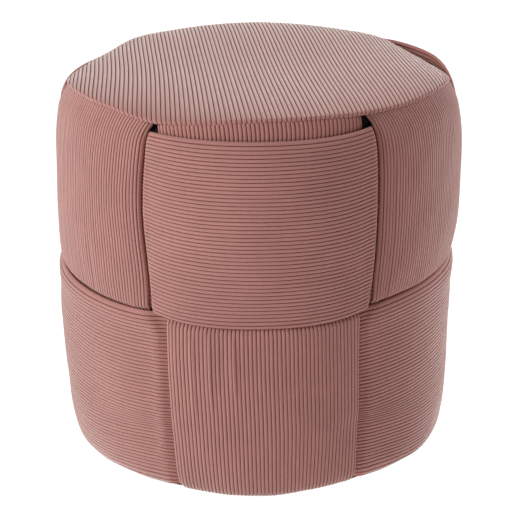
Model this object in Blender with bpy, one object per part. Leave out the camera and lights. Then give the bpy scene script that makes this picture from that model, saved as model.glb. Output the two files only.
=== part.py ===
"""Round pouf: a drum core in a plain weave of wide corduroy straps and bands.

Six straps run down the side, from the seam of the round top panel to the underside.
Two closed bands run round it. The upper band passes over every other strap, and the
lower band over the straps between. Each sheet is one closed solid in its true woven
shape: over and under its neighbours, puffed where it is on top, with rolled edges.

Metres, +Z up. The floor is Z = 0 and the front is -Y. An azimuth is in degrees from
the front towards +X. A "run" is a length along the side's profile, from the seam at
the top, down the side, round the bottom corner and inwards along the underside.
"""
import bpy
import numpy as np

# ---- driving dimensions -------------------------------------------------------------
SHEET = 0.003            # thickness of a corduroy sheet
WEAVE_STEP = 0.0028      # how far a sheet lies outside or inside the weave's middle
SHARED_PUFF = 0.0018     # crown of both layers at the middle of a crossing
TOP_PUFF = 0.0028        # further crown of the sheet that lies on top
SWITCH = 0.0060          # half the run in which a band passes between two straps
WAIST_SWITCH = 0.0065    # half the run in which a strap passes between the bands
TUCK_SHARE = 0.28        # where in such a gap a sheet dives, from the edge it dives behind
TUCK_MOST = 0.6          # degrees; the most it dives away from a strap's edge
PUFF_POWER = 3.0         # how square a crown is
CORNER_POWER = 4.0       # how square the corners of a band's panels are
RIM_FLARE = 0.0024       # how far the lower band's rim stands off the waist
RIM_HEIGHT = 0.190
RIM_SPREAD = 0.012
HIDDEN_POWER = 36.0      # how fast a band's edge steps back where it is hidden

EDGE_ROLL = 0.0090       # width of the roll along a strap's or band's edge
ROLL_OVER = 0.0030       # depth of the roll on a sheet that lies on top
ROLL_UNDER = 0.0019      # depth of the roll on a sheet that lies below
EDGE_TIP = 0.0006        # thickness left at the tip of a roll
SEAM_ROLL = 0.0040       # run in which a strap turns in to the top seam
SEAM_DEPTH = 0.0012      # depth of that turn
SEAM_EASE = 0.367        # height at which a strap has reached its full weave level

STRAPS = 6
CELL = 360.0 / STRAPS    # one strap's share of the round
HALF_CELL = CELL / 2.0

SEAM_HEIGHT = 0.389
CROWN_HEIGHT = 0.3965
TOP_RADIUS = 0.1912      # widest radius of the top panel
TOP_TUCK = 0.0014        # how far the panel's rim turns in to the seam
TOP_TUCK_HEIGHT = 0.0026
CROWN_SQUARE = 5.0
CROWN_ROUND = 0.70
STRETCH_FROM = 0.329     # above this height the side follows the uneven seam

CORE_GAP = 0.0017
BOARD_GAP = 0.0004       # between the base board and the base cloth
SEAM_GAP = 0.0010        # between the top panel's rim and the straps' ends
BASE_SHEET = 0.0016
BASE_RADIUS = 0.1762
BASE_SIDES = 72
BASE_CRIMP = 0.0030      # depth of the crimps in its rim
BASE_CRIMPS = 9
BASE_CRIMP_FROM = 20.0   # degrees of phase
CORE_SIDES = 48
BOARD_RADIUS = 0.138     # the base board, which the base cloth lies against
BOARD_STEP = 0.006

# The weave's middle surface, from the top seam down to the underside.
PROFILE = (  # radius, height
    (0.1898, 0.3890),
    (0.1934, 0.3755),
    (0.1962, 0.3540),
    (0.1984, 0.3140),
    (0.1990, 0.2740),
    (0.1985, 0.2340),
    (0.1977, 0.2040),
    (0.1975, 0.1740),
    (0.1967, 0.1140),
    (0.1957, 0.0690),
    (0.1942, 0.0320),
    (0.1932, 0.0170),
    (0.1903, 0.0096),
    (0.1832, 0.0066),
    (0.1650, 0.0066),
    (0.1480, 0.0066),
)
# How far the pouf leans to the right of its axis at these heights.
LEAN = (  # height, sideways
    (0.000, -0.0040),
    (0.060, -0.0050),
    (0.140, -0.0056),
    (0.200, -0.0040),
    (0.255, -0.0014),
    (0.330, 0.0),
    (0.420, 0.0),
)
STRAP_END_RADIUS = 0.152
BAND_END_RADIUS = 0.166

# Height of the top seam round the pouf, every 15 degrees from the front.
SEAM_HEIGHTS = (
    0.3888, 0.3892, 0.3890, 0.3862, 0.3868, 0.3835,
    0.3735, 0.3665, 0.3685, 0.3780, 0.3795, 0.3820,
    0.3840, 0.3835, 0.3820, 0.3815, 0.3720, 0.3705,
    0.3755, 0.3840, 0.3870, 0.3862, 0.3815, 0.3855,
)
# How much wider and how much higher the bottom corner is, every 30 degrees.
FOOT_SPREAD = (
    0.0000, -0.0015, 0.0012, -0.0012, 0.0000, 0.0000,
    0.0000, 0.0000, 0.0000, -0.0012, 0.0010, -0.0006,
)
FOOT_LIFT = (
    0.0038, 0.0088, 0.0016, 0.0000, 0.0000, 0.0010,
    0.0000, 0.0010, 0.0000, 0.0000, 0.0000, 0.0078,
)
FOOT_FROM, FOOT_TO = 0.095, 0.170   # height it starts at, radius it ends at

# Where each strap's edges run, in degrees from its centre line, at these heights.
EDGE_HEIGHTS = (0.389, 0.378, 0.354, 0.294, 0.204, 0.104, 0.020)
LEFT_EDGES = (
    (-29.5, -28.8, -28.0, -27.5, -25.2, -24.3, -24.0),
    (-29.9, -28.6, -28.0, -26.9, -27.6, -27.8, -27.5),
    (-29.4, -28.4, -28.0, -27.5, -29.0, -29.4, -29.2),
    (-29.8, -28.8, -28.6, -27.8, -29.2, -27.6, -27.5),
    (-29.4, -28.4, -28.0, -27.4, -29.2, -29.6, -29.2),
    (-29.8, -28.8, -28.4, -27.6, -29.0, -27.6, -27.5),
)
RIGHT_EDGES = (
    (28.3, 28.2, 28.0, 27.5, 29.2, 30.2, 30.0),
    (29.8, 28.8, 28.6, 27.9, 29.2, 27.6, 27.5),
    (29.4, 28.4, 28.0, 27.5, 29.0, 29.5, 29.2),
    (29.8, 28.8, 28.6, 27.7, 29.0, 27.6, 27.5),
    (29.4, 28.4, 28.0, 27.5, 29.1, 29.4, 29.2),
    (29.2, 27.8, 27.4, 26.8, 28.3, 30.4, 30.4),
)

# Heights of the bands' edges: at the middle of each strap, and at the border to its right.
UPPER_BOTTOM = (  # at the strap, at the border
    (0.1912, 0.2026), (0.2170, 0.2040), (0.1920, 0.2040),
    (0.2170, 0.2040), (0.1920, 0.2040), (0.2170, 0.2028),
)
UPPER_TOP = (
    (0.3725, 0.3790), (0.3700, 0.3330), (0.3825, 0.3690),
    (0.3700, 0.3720), (0.3740, 0.3640), (0.3700, 0.3750),
)
LOWER_TOP = (
    (0.1820, 0.1990), (0.2085, 0.1985), (0.1820, 0.1980),
    (0.2040, 0.1980), (0.1820, 0.1990), (0.2035, 0.1976),
)
WAIST = 0.2010           # height at which the upper crossings meet the lower ones
UPPER_MIDDLE, UPPER_HALF = 0.2890, 0.0900
LOWER_MIDDLE, LOWER_HALF = 0.1080, 0.0950

# Where the sheets are sectioned. Across: -1 and 1 are the edges.
STRAP_FRONT = (-1, -0.965, -0.90, -0.68, -0.35, 0, 0.35, 0.68, 0.90, 0.965, 1)
STRAP_BACK = (0.95, 0.88, 0.66, 0.34, 0, -0.34, -0.66, -0.88, -0.95)
STRAP_HEIGHTS = (  # of the sections down the side; the last run round the corner
    0.389, 0.3875, 0.384, 0.374, 0.359, 0.329, 0.289, 0.249, 0.224,
    0.213, 0.2075, 0.202, 0.1965, 0.191, 0.1855, 0.174, 0.145, 0.100, 0.045, 0.026,
)
CORNER_RADII = (0.1930, 0.1905, 0.1865, 0.1815, 0.1700, STRAP_END_RADIUS)
CORE_HEIGHTS = (0.026, 0.045, 0.070, 0.130, 0.174, 0.204, 0.234, 0.274, 0.320, 0.354, 0.3755)
CORE_CORNER_RADII = (0.1700, 0.1815, 0.1865, 0.1905, 0.1930)
UPPER_FRONT = (-1, -0.975, -0.92, -0.75, -0.38, 0, 0.38, 0.75, 0.92, 0.975, 1)
UPPER_BACK = (0.94, 0.5, 0, -0.5, -0.94)
LOWER_FRONT = (-1, -0.96, -0.85, -0.81, -0.77, -0.73, -0.68, -0.40, 0, 0.38, 0.75,
               0.92, 0.975, 1)
LOWER_BACK = (0.94, 0.4, -0.1, -0.48, -0.68, -0.73, -0.77, -0.81, -0.86, -0.97)
PANEL_AZIMUTHS = (-18.0, -9.0, 0.0, 9.0, 18.0)   # from a strap's centre line
DIVE_AZIMUTHS = (-4.0, -1.6, -0.5, 0.5, 1.6, 4.0)  # from where the band changes level
CROWN_RADII = (0.999, 0.98, 0.93, 0.84, 0.68, 0.45, 0.22)   # shares of the widest radius
LINING_RADII = (0.28, 0.55, 0.78, 0.90, 0.965)              # of the panel's inner face

CORDUROY = (0.392, 0.202, 0.176)
BLACK_CLOTH = (0.012, 0.012, 0.013)


# ---- curves ---------------------------------------------------------------------------
def smooth_curve(points, steps):
    """Points on a Catmull-Rom curve through the given ones."""
    knots = np.asarray(points, float)
    knots = np.vstack([2 * knots[0] - knots[1], knots, 2 * knots[-1] - knots[-2]])
    t = np.linspace(0.0, 1.0, steps, endpoint=False)[:, None]
    spans = []
    for before, start, end, after in zip(knots, knots[1:], knots[2:], knots[3:]):
        slope_in, slope_out = (end - before) / 2.0, (after - start) / 2.0
        bend = 3.0 * (end - start) - 2.0 * slope_in - slope_out
        twist = 2.0 * (start - end) + slope_in + slope_out
        spans.append(start + slope_in * t + bend * t ** 2 + twist * t ** 3)
    return np.vstack(spans + [knots[-2:-1]])


def round_value(azimuth, values):
    """A smooth value round the pouf, through values evenly spaced from the front."""
    count = len(values)
    place = np.mod(np.asarray(azimuth, float), 360.0) / 360.0 * count
    index = np.floor(place).astype(int) % count
    t = place - np.floor(place)
    ring = np.asarray(values, float)
    before, start = ring[index - 1], ring[index]
    end, after = ring[(index + 1) % count], ring[(index + 2) % count]
    slope_in, slope_out = (end - before) / 2.0, (after - start) / 2.0
    bend = 3.0 * (end - start) - 2.0 * slope_in - slope_out
    twist = 2.0 * (start - end) + slope_in + slope_out
    return start + slope_in * t + bend * t ** 2 + twist * t ** 3


def soft_step(x):
    """-1 below x = -1, 1 above x = 1, and smooth between."""
    x = np.clip(x, -1.0, 1.0)
    return 1.5 * x - 0.5 * x ** 3


def soft_ramp(x):
    """0 below x = 0, 1 above x = 1, and smooth between."""
    return 0.5 + 0.5 * soft_step(2.0 * x - 1.0)


LINE = smooth_curve(PROFILE, 24)
RUNS = np.concatenate([[0.0], np.cumsum(np.hypot(*np.diff(LINE, axis=0).T))])
SLOPES = np.gradient(LINE, RUNS, axis=0)


def run_at_height(height):
    """The run at a height on the side."""
    return np.interp(height, LINE[::-1, 1], RUNS[::-1])


def run_at_underside(radius):
    """The run at a radius on the bottom corner or the underside."""
    low = LINE[:, 1] < 0.020
    return np.interp(radius, LINE[low][::-1, 0], RUNS[low][::-1])


# ---- the weave ------------------------------------------------------------------------
def strap_edges(strap, run):
    """Azimuths of a strap's left and right edges at a run."""
    runs = run_at_height(np.array(EDGE_HEIGHTS))
    fine = smooth_curve(np.column_stack([runs, LEFT_EDGES[strap], RIGHT_EDGES[strap]]), 12)
    centre = strap * CELL
    return (centre + np.interp(run, fine[:, 0], fine[:, 1]),
            centre + np.interp(run, fine[:, 0], fine[:, 2]))


def dive_azimuth(strap, run, over_even):
    """Azimuth at which a band changes level, in the gap to the right of a strap."""
    gap_left = strap_edges(strap, run)[1]
    gap_right = strap_edges((strap + 1) % STRAPS, run)[0]
    gap_right = gap_right + (360.0 if strap == STRAPS - 1 else 0.0)
    tuck = np.minimum(TUCK_SHARE * (gap_right - gap_left), TUCK_MOST)
    band_is_over = (strap % 2 == 0) == over_even
    return gap_right - tuck if band_is_over else gap_left + tuck


def band_edge(azimuth, table, over_even):
    """Height of a band's edge, from its values at the straps and at their borders."""
    azimuth = np.mod(np.asarray(azimuth, float) + HALF_CELL, 360.0) - HALF_CELL
    waist = run_at_height(WAIST)
    borders = [dive_azimuth(strap, waist, over_even) for strap in range(STRAPS)]
    borders = np.array([borders[-1] - 360.0] + borders)
    azimuth = np.where(azimuth >= borders[-1], azimuth - 360.0, azimuth)
    azimuth = np.where(azimuth < borders[0], azimuth + 360.0, azimuth)
    cell = np.searchsorted(borders, azimuth, side="right") - 1
    share = (azimuth - borders[cell]) / (borders[cell + 1] - borders[cell])
    middle = np.array([row[0] for row in table])[cell]
    at_border = np.array([row[1] for row in table])
    border = at_border[cell - 1] + (at_border[cell] - at_border[cell - 1]) * share
    power = np.where((cell % 2 == 0) == over_even, CORNER_POWER, HIDDEN_POWER)
    return border + (middle - border) * (1.0 - np.abs(2.0 * share - 1.0) ** power)


def crossing_crown(azimuth, run):
    """1 at the middle of a crossing and 0 at its borders."""
    across = (np.mod(azimuth + HALF_CELL, CELL) - HALF_CELL) / HALF_CELL
    height = np.interp(run, RUNS, LINE[:, 1])
    upper = height > WAIST
    middle = np.where(upper, UPPER_MIDDLE, LOWER_MIDDLE)
    half = np.where(upper, UPPER_HALF, LOWER_HALF)
    along = np.clip((height - middle) / half, -1.0, 1.0)
    return (1.0 - np.abs(across) ** PUFF_POWER) * (1.0 - np.abs(along) ** PUFF_POWER)


def strap_level(strap, azimuth, run):
    """1 where a strap lies on top, -1 where it lies below."""
    gap_top = run_at_height(band_edge(azimuth, UPPER_BOTTOM, over_even=True))
    gap_bottom = run_at_height(band_edge(azimuth, LOWER_TOP, over_even=False))
    over_above = strap % 2 == 1
    share = 1.0 - TUCK_SHARE if over_above else TUCK_SHARE
    middle = gap_top + (gap_bottom - gap_top) * share
    return (1.0 if over_above else -1.0) * soft_step((middle - run) / WAIST_SWITCH)


def band_level(azimuth, run, over_even):
    """1 where a band lies on top, -1 where it lies below."""
    radius = np.interp(run, RUNS, LINE[:, 0])
    level = np.zeros(np.broadcast(azimuth, run).shape)
    for strap in range(STRAPS):
        dive = dive_azimuth(strap, run, over_even)
        away = np.radians(np.mod(azimuth - dive + 180.0, 360.0) - 180.0) * radius
        sign = 1.0 if (strap % 2 == 0) == over_even else -1.0
        here = np.mod(azimuth, 360.0) // CELL == strap
        level = np.where(here, -sign * soft_step(away / SWITCH), level)
    return level


def on_the_side(azimuth, run, offset, follow_seam=1.0):
    """Points at an offset outside the weave's middle surface."""
    radius = np.interp(run, RUNS, LINE[:, 0])
    height = np.interp(run, RUNS, LINE[:, 1])
    slope_r = np.interp(run, RUNS, SLOPES[:, 0])
    slope_z = np.interp(run, RUNS, SLOPES[:, 1])
    drop = round_value(azimuth, SEAM_HEIGHTS) - SEAM_HEIGHT
    near_seam = soft_ramp((height - STRETCH_FROM) / (SEAM_HEIGHT - STRETCH_FROM))
    foot = foot_share(run)
    radius = radius - slope_z * offset + round_value(azimuth, FOOT_SPREAD) * foot
    height = (height + slope_r * offset + drop * near_seam * follow_seam
              + round_value(azimuth, FOOT_LIFT) * foot)
    return on_the_round(azimuth, radius, height)


def foot_share(run):
    """0 on the side, 1 round the bottom corner and 0 again on the underside."""
    start, end = run_at_height(FOOT_FROM), run_at_underside(FOOT_TO)
    middle = (start + end) / 2.0
    return soft_ramp(1.6 * (1.0 - np.abs(run - middle) / (end - middle)))


def on_the_round(azimuth, radius, height):
    """Points at an azimuth, radius and height on the slightly leaning pouf."""
    angle = np.radians(azimuth)
    bow = smooth_curve(LEAN, 12)
    lean = np.interp(height, bow[:, 0], bow[:, 1])
    return np.stack(np.broadcast_arrays(
        radius * np.sin(angle) + lean, -radius * np.cos(angle), height), axis=-1)


def rolled(level, from_edge):
    """How far the outer and inner faces turn in, at a distance from a sheet's edge."""
    depth = ROLL_UNDER + (ROLL_OVER - ROLL_UNDER) * (level + 1.0) / 2.0
    share = np.clip(1.0 - from_edge / EDGE_ROLL, 0.0, 1.0)
    outer = depth * (1.0 - np.sqrt(1.0 - share ** 2))
    inner = (depth + EDGE_TIP - SHEET) * soft_ramp(share)
    return outer, inner


def sheet_offset(level, crown, from_edge, side, flare=0.0):
    """Offset of a sheet's outer (side 1) or inner (side -1) face."""
    on_top = np.clip(level, 0.0, 1.0)
    middle = WEAVE_STEP * level + (SHARED_PUFF + TOP_PUFF * on_top) * crown + flare * on_top
    outer, inner = rolled(level, from_edge)
    return middle + side * SHEET / 2.0 - np.where(side > 0, outer, inner)


# ---- meshes -----------------------------------------------------------------------------
def solid_object(name, vertices, faces, colour, roughness):
    """A named object with its own material, shaded smooth except at sharp edges."""
    mesh = bpy.data.meshes.new(name)
    mesh.from_pydata([tuple(v) for v in vertices], [], faces)
    mesh.validate()
    mesh.shade_smooth()
    mesh.set_sharp_from_angle(angle=np.radians(50.0))
    material = bpy.data.materials.new(name)
    material.use_nodes = True
    shader = material.node_tree.nodes["Principled BSDF"]
    shader.inputs["Base Color"].default_value = (*colour, 1.0)
    shader.inputs["Roughness"].default_value = roughness
    shader.inputs["Metallic"].default_value = 0.0
    mesh.materials.append(material)
    item = bpy.data.objects.new(name, mesh)
    bpy.context.collection.objects.link(item)
    return item


def lofted(rings, closed):
    """Faces that join rings of points one to the next, capped unless closed on itself."""
    count, size = rings.shape[:2]
    faces = []
    for ring in range(count if closed else count - 1):
        here, there = ring * size, (ring + 1) % count * size
        for i in range(size):
            j = (i + 1) % size
            faces.append((here + i, there + i, there + j, here + j))
    if not closed:
        start = sheet_end(size)
        last = (count - 1) * size
        faces += start + [tuple(last + i for i in reversed(face)) for face in start]
    return rings.reshape(-1, 3), faces


def sheet_end(size):
    """Faces across a sheet's end, from its outer face's points to its inner face's."""
    faces = []
    for i in range(size // 2):
        corners = (i, i + 1, size - i - 1, (size - i) % size)
        faces.append(tuple(dict.fromkeys(corners)))
    return faces


def turned(rings, bottom, top):
    """Faces of a round solid of rings, from a bottom centre point to a top one."""
    count, size = rings.shape[:2]
    vertices = np.vstack([rings.reshape(-1, 3), [bottom, top]])
    low, high = count * size, count * size + 1
    faces = []
    for i in range(size):
        j = (i + 1) % size
        faces.append((low, j, i))
        faces.append((high, (count - 1) * size + i, (count - 1) * size + j))
        for ring in range(count - 1):
            here, there = ring * size, (ring + 1) * size
            faces.append((here + i, here + j, there + j, there + i))
    return vertices, faces


def crown_height(share, rim_height):
    """Height of the top panel at a share of its widest radius."""
    rise = (1.0 - np.minimum(share, 1.0) ** CROWN_SQUARE) ** CROWN_ROUND
    return rim_height + (CROWN_HEIGHT - rim_height) * rise


# ---- the pieces ---------------------------------------------------------------------------
def make_strap(strap):
    """A strap: sewn in at the top seam, woven down the side and turned under."""
    side_runs = run_at_height(np.array(STRAP_HEIGHTS))
    runs = np.concatenate([side_runs, run_at_underside(np.array(CORNER_RADII))])[:, None]
    across = np.array(STRAP_FRONT + STRAP_BACK)[None, :]
    side = np.array([1] * len(STRAP_FRONT) + [-1] * len(STRAP_BACK))[None, :]
    left, right = strap_edges(strap, runs)
    azimuth = (left + right) / 2.0 + across * (right - left) / 2.0
    radius = np.interp(runs, RUNS, LINE[:, 0])
    from_edge = (1.0 - np.abs(across)) * np.radians(right - left) / 2.0 * radius
    weight = soft_ramp(runs / run_at_height(SEAM_EASE))
    level = strap_level(strap, azimuth, runs)
    offset = sheet_offset(level * weight, crossing_crown(azimuth, runs), from_edge, side)
    turn = 1.0 - np.sqrt(1.0 - np.clip(1.0 - runs / SEAM_ROLL, 0.0, 1.0) ** 2)
    offset = offset - SEAM_DEPTH * turn * (side > 0)
    vertices, faces = lofted(on_the_side(azimuth, runs, offset), closed=False)
    return solid_object(f"strap_{strap + 1}", vertices, faces, CORDUROY, 0.85)


def make_band(name, rows, bottom_run, top_table, over_even, rim_flare=0.0):
    """A closed band, woven over every other strap."""
    front, back = rows
    middle_run = run_at_height(UPPER_MIDDLE if over_even else LOWER_MIDDLE)
    dives = [dive_azimuth(strap, middle_run, over_even) for strap in range(STRAPS)]
    azimuth = np.concatenate(
        [np.array(PANEL_AZIMUTHS) + strap * CELL for strap in range(STRAPS)]
        + [np.array(DIVE_AZIMUTHS) + dive for dive in dives])
    azimuth = np.sort(azimuth)[:, None]
    across = np.array(front + back)[None, :]
    side = np.array([1] * len(front) + [-1] * len(back))[None, :]
    bottom = bottom_run(azimuth)
    top = run_at_height(band_edge(azimuth, top_table, over_even))
    run = (bottom + top) / 2.0 - across * (bottom - top) / 2.0
    from_edge = (1.0 - np.abs(across)) * (bottom - top) / 2.0
    level = band_level(azimuth, run, over_even)
    height = np.interp(run, RUNS, LINE[:, 1])
    flare = rim_flare * np.exp(-((height - RIM_HEIGHT) / RIM_SPREAD) ** 2)
    offset = sheet_offset(level, crossing_crown(azimuth, run), from_edge, side, flare)
    points = on_the_side(azimuth, run, offset, follow_seam=(1.0 - level) / 2.0)
    vertices, faces = lofted(points, closed=True)
    return solid_object(name, vertices, faces, CORDUROY, 0.85)


def make_top_panel():
    """The round top: crowned, rolled down at its rim and turned in to the seam."""
    azimuth = (np.arange(CORE_SIDES) * 360.0 / CORE_SIDES)[None, :]
    rim = round_value(azimuth, SEAM_HEIGHTS) + SEAM_GAP
    outer_shares = np.array(CROWN_RADII)[:, None]
    inner_shares = np.array(LINING_RADII)[:, None]
    widest = rim + TOP_TUCK_HEIGHT
    outer = on_the_round(azimuth, TOP_RADIUS * outer_shares, crown_height(outer_shares, widest))
    inner = on_the_round(azimuth, (TOP_RADIUS - SHEET) * inner_shares,
                         crown_height(inner_shares, widest) - SHEET)
    tuck = on_the_round(azimuth, TOP_RADIUS - TOP_TUCK, rim)[None, 0]
    lip = on_the_round(azimuth, TOP_RADIUS - TOP_TUCK - SHEET, rim)[None, 0]
    rings = np.concatenate([inner, lip, tuck, outer])
    middle = (0.0, 0.0)
    vertices, faces = turned(rings, (*middle, CROWN_HEIGHT - SHEET), (*middle, CROWN_HEIGHT))
    return solid_object("top_panel", vertices, faces, CORDUROY, 0.85)


def make_core():
    """The stuffed drum inside the weave, in black cloth."""
    azimuth = (np.arange(CORE_SIDES) * 360.0 / CORE_SIDES)[None, :]
    inset = WEAVE_STEP + SHEET / 2.0 + CORE_GAP
    underside = PROFILE[-1][1] + inset
    board = BASE_SHEET + BOARD_GAP
    flat = ((BOARD_RADIUS, board), (BOARD_RADIUS + BOARD_STEP, underside))
    low = [on_the_round(azimuth, radius, height) for radius, height in flat]
    runs = np.concatenate([run_at_underside(np.array(CORE_CORNER_RADII)),
                           run_at_height(np.array(CORE_HEIGHTS))])[:, None]
    side = on_the_side(azimuth, runs, -inset)
    rim = round_value(azimuth, SEAM_HEIGHTS) + SEAM_GAP + TOP_TUCK_HEIGHT
    shares = np.array(LINING_RADII[::-1])[:, None]
    top = on_the_round(azimuth, (TOP_RADIUS - SHEET) * shares,
                       crown_height(shares, rim) - SHEET - CORE_GAP)
    rings = np.concatenate([np.concatenate(low), side, top])
    summit = CROWN_HEIGHT - SHEET - CORE_GAP
    vertices, faces = turned(rings, (LEAN[0][1], 0.0, board), (0.0, 0.0, summit))
    return solid_object("core", vertices, faces, BLACK_CLOTH, 0.9)


def make_base_cloth():
    """The black cloth under the pouf, flat on the floor, a little crimped at its rim."""
    azimuth = (np.arange(BASE_SIDES) * 360.0 / BASE_SIDES)[None, :]
    wave = np.sin(np.radians(azimuth * BASE_CRIMPS + BASE_CRIMP_FROM))
    crimp = BASE_CRIMP * np.maximum(0.0, wave) ** 3
    rings = np.concatenate([on_the_round(azimuth, BASE_RADIUS + crimp, height)
                            for height in (0.0, BASE_SHEET)])
    vertices, faces = turned(rings, (LEAN[0][1], 0.0, 0.0), (LEAN[0][1], 0.0, BASE_SHEET))
    return solid_object("base_cloth", vertices, faces, BLACK_CLOTH, 0.95)


def centre_on_origin(items):
    """Slide all pieces sideways so that their common box is centred on the origin."""
    points = np.concatenate([[v.co[:] for v in item.data.vertices] for item in items])
    middle = (points.min(axis=0) + points.max(axis=0)) / 2.0
    for item in items:
        for vertex in item.data.vertices:
            vertex.co.x -= middle[0]
            vertex.co.y -= middle[1]


def main():
    for item in list(bpy.data.objects):
        bpy.data.objects.remove(item, do_unlink=True)
    pieces = [make_core(), make_base_cloth(), make_top_panel()]
    pieces += [make_strap(strap) for strap in range(STRAPS)]
    pieces.append(make_band("band_upper", (UPPER_FRONT, UPPER_BACK),
                            lambda a: run_at_height(band_edge(a, UPPER_BOTTOM, True)),
                            UPPER_TOP, over_even=True))
    pieces.append(make_band("band_lower", (LOWER_FRONT, LOWER_BACK),
                            lambda a: run_at_underside(BAND_END_RADIUS) + 0 * a,
                            LOWER_TOP, over_even=False, rim_flare=RIM_FLARE))
    centre_on_origin(pieces)


main()
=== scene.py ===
"""Dresses the round woven pouf: straps, bands, top, seam stitches, black cloth and stage.

The pouf is a plain weave. Six straps run down the side, and two closed bands run round it.
Metres, +Z up, the front is -Y. An azimuth is in degrees from the front towards +X. A "run" is
a length along the side's profile, from the top seam down, round the foot and inwards.
"""
import math

import bpy
import numpy as np
from bpy.props import FloatProperty, FloatVectorProperty, PointerProperty
from mathutils import Euler, Matrix, Vector


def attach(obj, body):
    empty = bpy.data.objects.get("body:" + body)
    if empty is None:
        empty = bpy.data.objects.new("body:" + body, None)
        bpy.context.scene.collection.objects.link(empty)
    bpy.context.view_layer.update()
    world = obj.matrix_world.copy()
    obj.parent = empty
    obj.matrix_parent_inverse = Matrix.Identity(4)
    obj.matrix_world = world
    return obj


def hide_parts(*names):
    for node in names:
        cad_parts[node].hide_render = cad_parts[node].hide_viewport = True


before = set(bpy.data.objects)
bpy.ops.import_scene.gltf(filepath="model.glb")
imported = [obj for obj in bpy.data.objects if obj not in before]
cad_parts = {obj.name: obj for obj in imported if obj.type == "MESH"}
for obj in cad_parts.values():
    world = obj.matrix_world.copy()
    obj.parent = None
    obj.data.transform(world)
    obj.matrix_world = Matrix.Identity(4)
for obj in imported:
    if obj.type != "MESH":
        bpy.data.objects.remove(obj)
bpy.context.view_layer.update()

bl_info = {
    "name": "Woven corduroy pouf",
    "version": (1, 0, 0),
    "blender": (4, 5, 0),
    "location": "View3D > Sidebar > Pouf",
    "description": "Makes the cloth, seams and stage of a round pouf of woven corduroy straps",
    "category": "Object",
}

SUMMIT = max(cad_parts["top_panel"].data.vertices, key=lambda v: v.co.z).co.copy()

# ---- the weave ------------------------------------------------------------------------
STRAPS = 6
CELL = 360.0 / STRAPS
HALF_CELL = CELL / 2.0

WEAVE_STEP = 0.0028      # how far a sheet lies outside or inside the weave's middle
SHARED_PUFF = 0.0018     # crown of both layers at the middle of a crossing
TOP_PUFF = 0.0028        # further crown of the sheet that lies on top
UPPER_SWITCH, LOWER_SWITCH = 0.0030, 0.0105   # half the length in which a band changes level
WAIST_SWITCH_OVER, WAIST_SWITCH_UNDER = 0.0052, 0.0045   # the same, of a strap at the waist
WAIST_TUCK_OVER, WAIST_TUCK_UNDER = 0.0011, 0.0008   # how far from a band's edge a strap dives
UPPER_SHARE, LOWER_SHARE = 0.34, 0.50   # where in a gap a band dives, from the strap over it
UPPER_TUCK, LOWER_TUCK = 1.30, 1.2   # degrees; the most a band dives away from a strap's edge
CORNER_TUCK, CORNER_FROM = 0.75, 0.178   # the lower band's share at the waist, and from where
HIDDEN_TUCK = 1.2        # degrees; how far a band's full width runs on behind a strap
SLOT_DIP, SLOT_PLACE, SLOT_WIDTH = 0.0036, 0.0034, 0.0026   # the upper band's dip beside a strap
SLOT_INSIDE = 0.6        # the inner face's share of that dip
SLOT_GROWTH = 0.018      # height above the waist over which the dip grows
LOWER_DRAW = 0.0018      # how far the lower band is drawn down where it lies below
PUFF_POWER = 3.0         # how square a crown is
CORNER_POWER = 4.0       # how square the corners of a band's panels are
HIDDEN_POWER = 36.0      # how fast a band's edge steps back where it is hidden
RIM_FLARE = 0.0024       # how far the lower band's rim stands off the waist
RIM_HEIGHT, RIM_SPREAD = 0.190, 0.012   # where it stands off most, and how far that reaches

EDGE_ROLL = 0.0090       # width of the roll along a strap's or band's edge
ROLL_OVER, ROLL_UNDER = 0.0030, 0.0019   # its depth, on a sheet on top and on one below
UPPER_ROLL, UPPER_ROLL_OVER = 0.0100, 0.0046   # both, on the straps above the waist
LOOSE_GROWTH = 0.030     # height above the waist over which the roll grows to that
EASE, EASE_WIDTH = 0.0018, 0.024   # a wider gentle fall towards those straps' edges
EDGE_TIP = 0.0006        # thickness left at the tip of a roll
EDGE_GROWTH = 0.8        # wales from a sheet's edge over which the ridges grow
PRESSED_SHADED_EDGE = 0.0012    # width along an edge where the pile lies flat, drawn without sheen, which also paints shade round the rolled edge
PRESSED_SHADED_LEVEL = 0.75     # weave level below which it lies flat too, drawn without sheen, which also paints shade between the layers
SEAM_ROLL, SEAM_DEPTH = 0.0040, 0.0009   # run and depth of a strap's turn into the top seam
SEAM_EASE = 0.367        # height at which a strap has reached its full weave level
TAUT_EDGE, TAUT_SEAM = 0.012, 0.020   # width of the taut cloth along an edge and the seam
SWELLS = (  # of the slack cloth: size, waves round, waves per run, shift from piece to piece
    (1.0, 5.0, 41.0, 1.7), (0.8, 11.0, -63.0, 2.9), (0.6, 23.0, 97.0, 0.6),
)

SEAM_HEIGHT, CROWN_HEIGHT = 0.389, 0.3965   # of the seam, and of the top before it sinks
TOP_RADIUS, TOP_TUCK, TOP_TUCK_HEIGHT = 0.1912, 0.0012, 0.0026   # its tuck: inwards, down
SEAM_GAP = 0.0002        # between the top's tucked edge and the straps
CROWN_SQUARE, CROWN_ROUND = 5.0, 0.70   # powers that shape the top's section
CROWN_ROWS, TUCK_ROWS = 240, 13   # points of that section, and of its tuck at the seam
CROWN_SAG = 0.0030       # how far the cloth sinks at the middle of the top
STRETCH_FROM = 0.329     # above this height the side follows the uneven seam
CORE_INSET = 0.0066      # how far the core's wall lies inside the weave's middle
CORE_UNDER, CORE_CORNER, CORE_TOP = 0.170, 0.026, 0.3755   # its wall's start, turn and end
CORE_LUMP, CORE_LUMPS, CORE_LUMPS_DOWN = 0.0005, 9.0, 70.0   # depth, waves round and per run
CORE_GAP = 0.0017        # between the core and the top panel
CORE_CROWN = (0.965, 0.10)   # shares of the top's radius, over which the core is rounded
CORE_ROWS = (10, 40, 14)   # round its corner, up its wall and over its crown
CORE_UNDERSIDE = (  # radius, height
    (0.070, 0.0020), (0.120, 0.0020), (0.138, 0.0020), (0.141, 0.006), (0.144, 0.0132),
)
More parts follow.
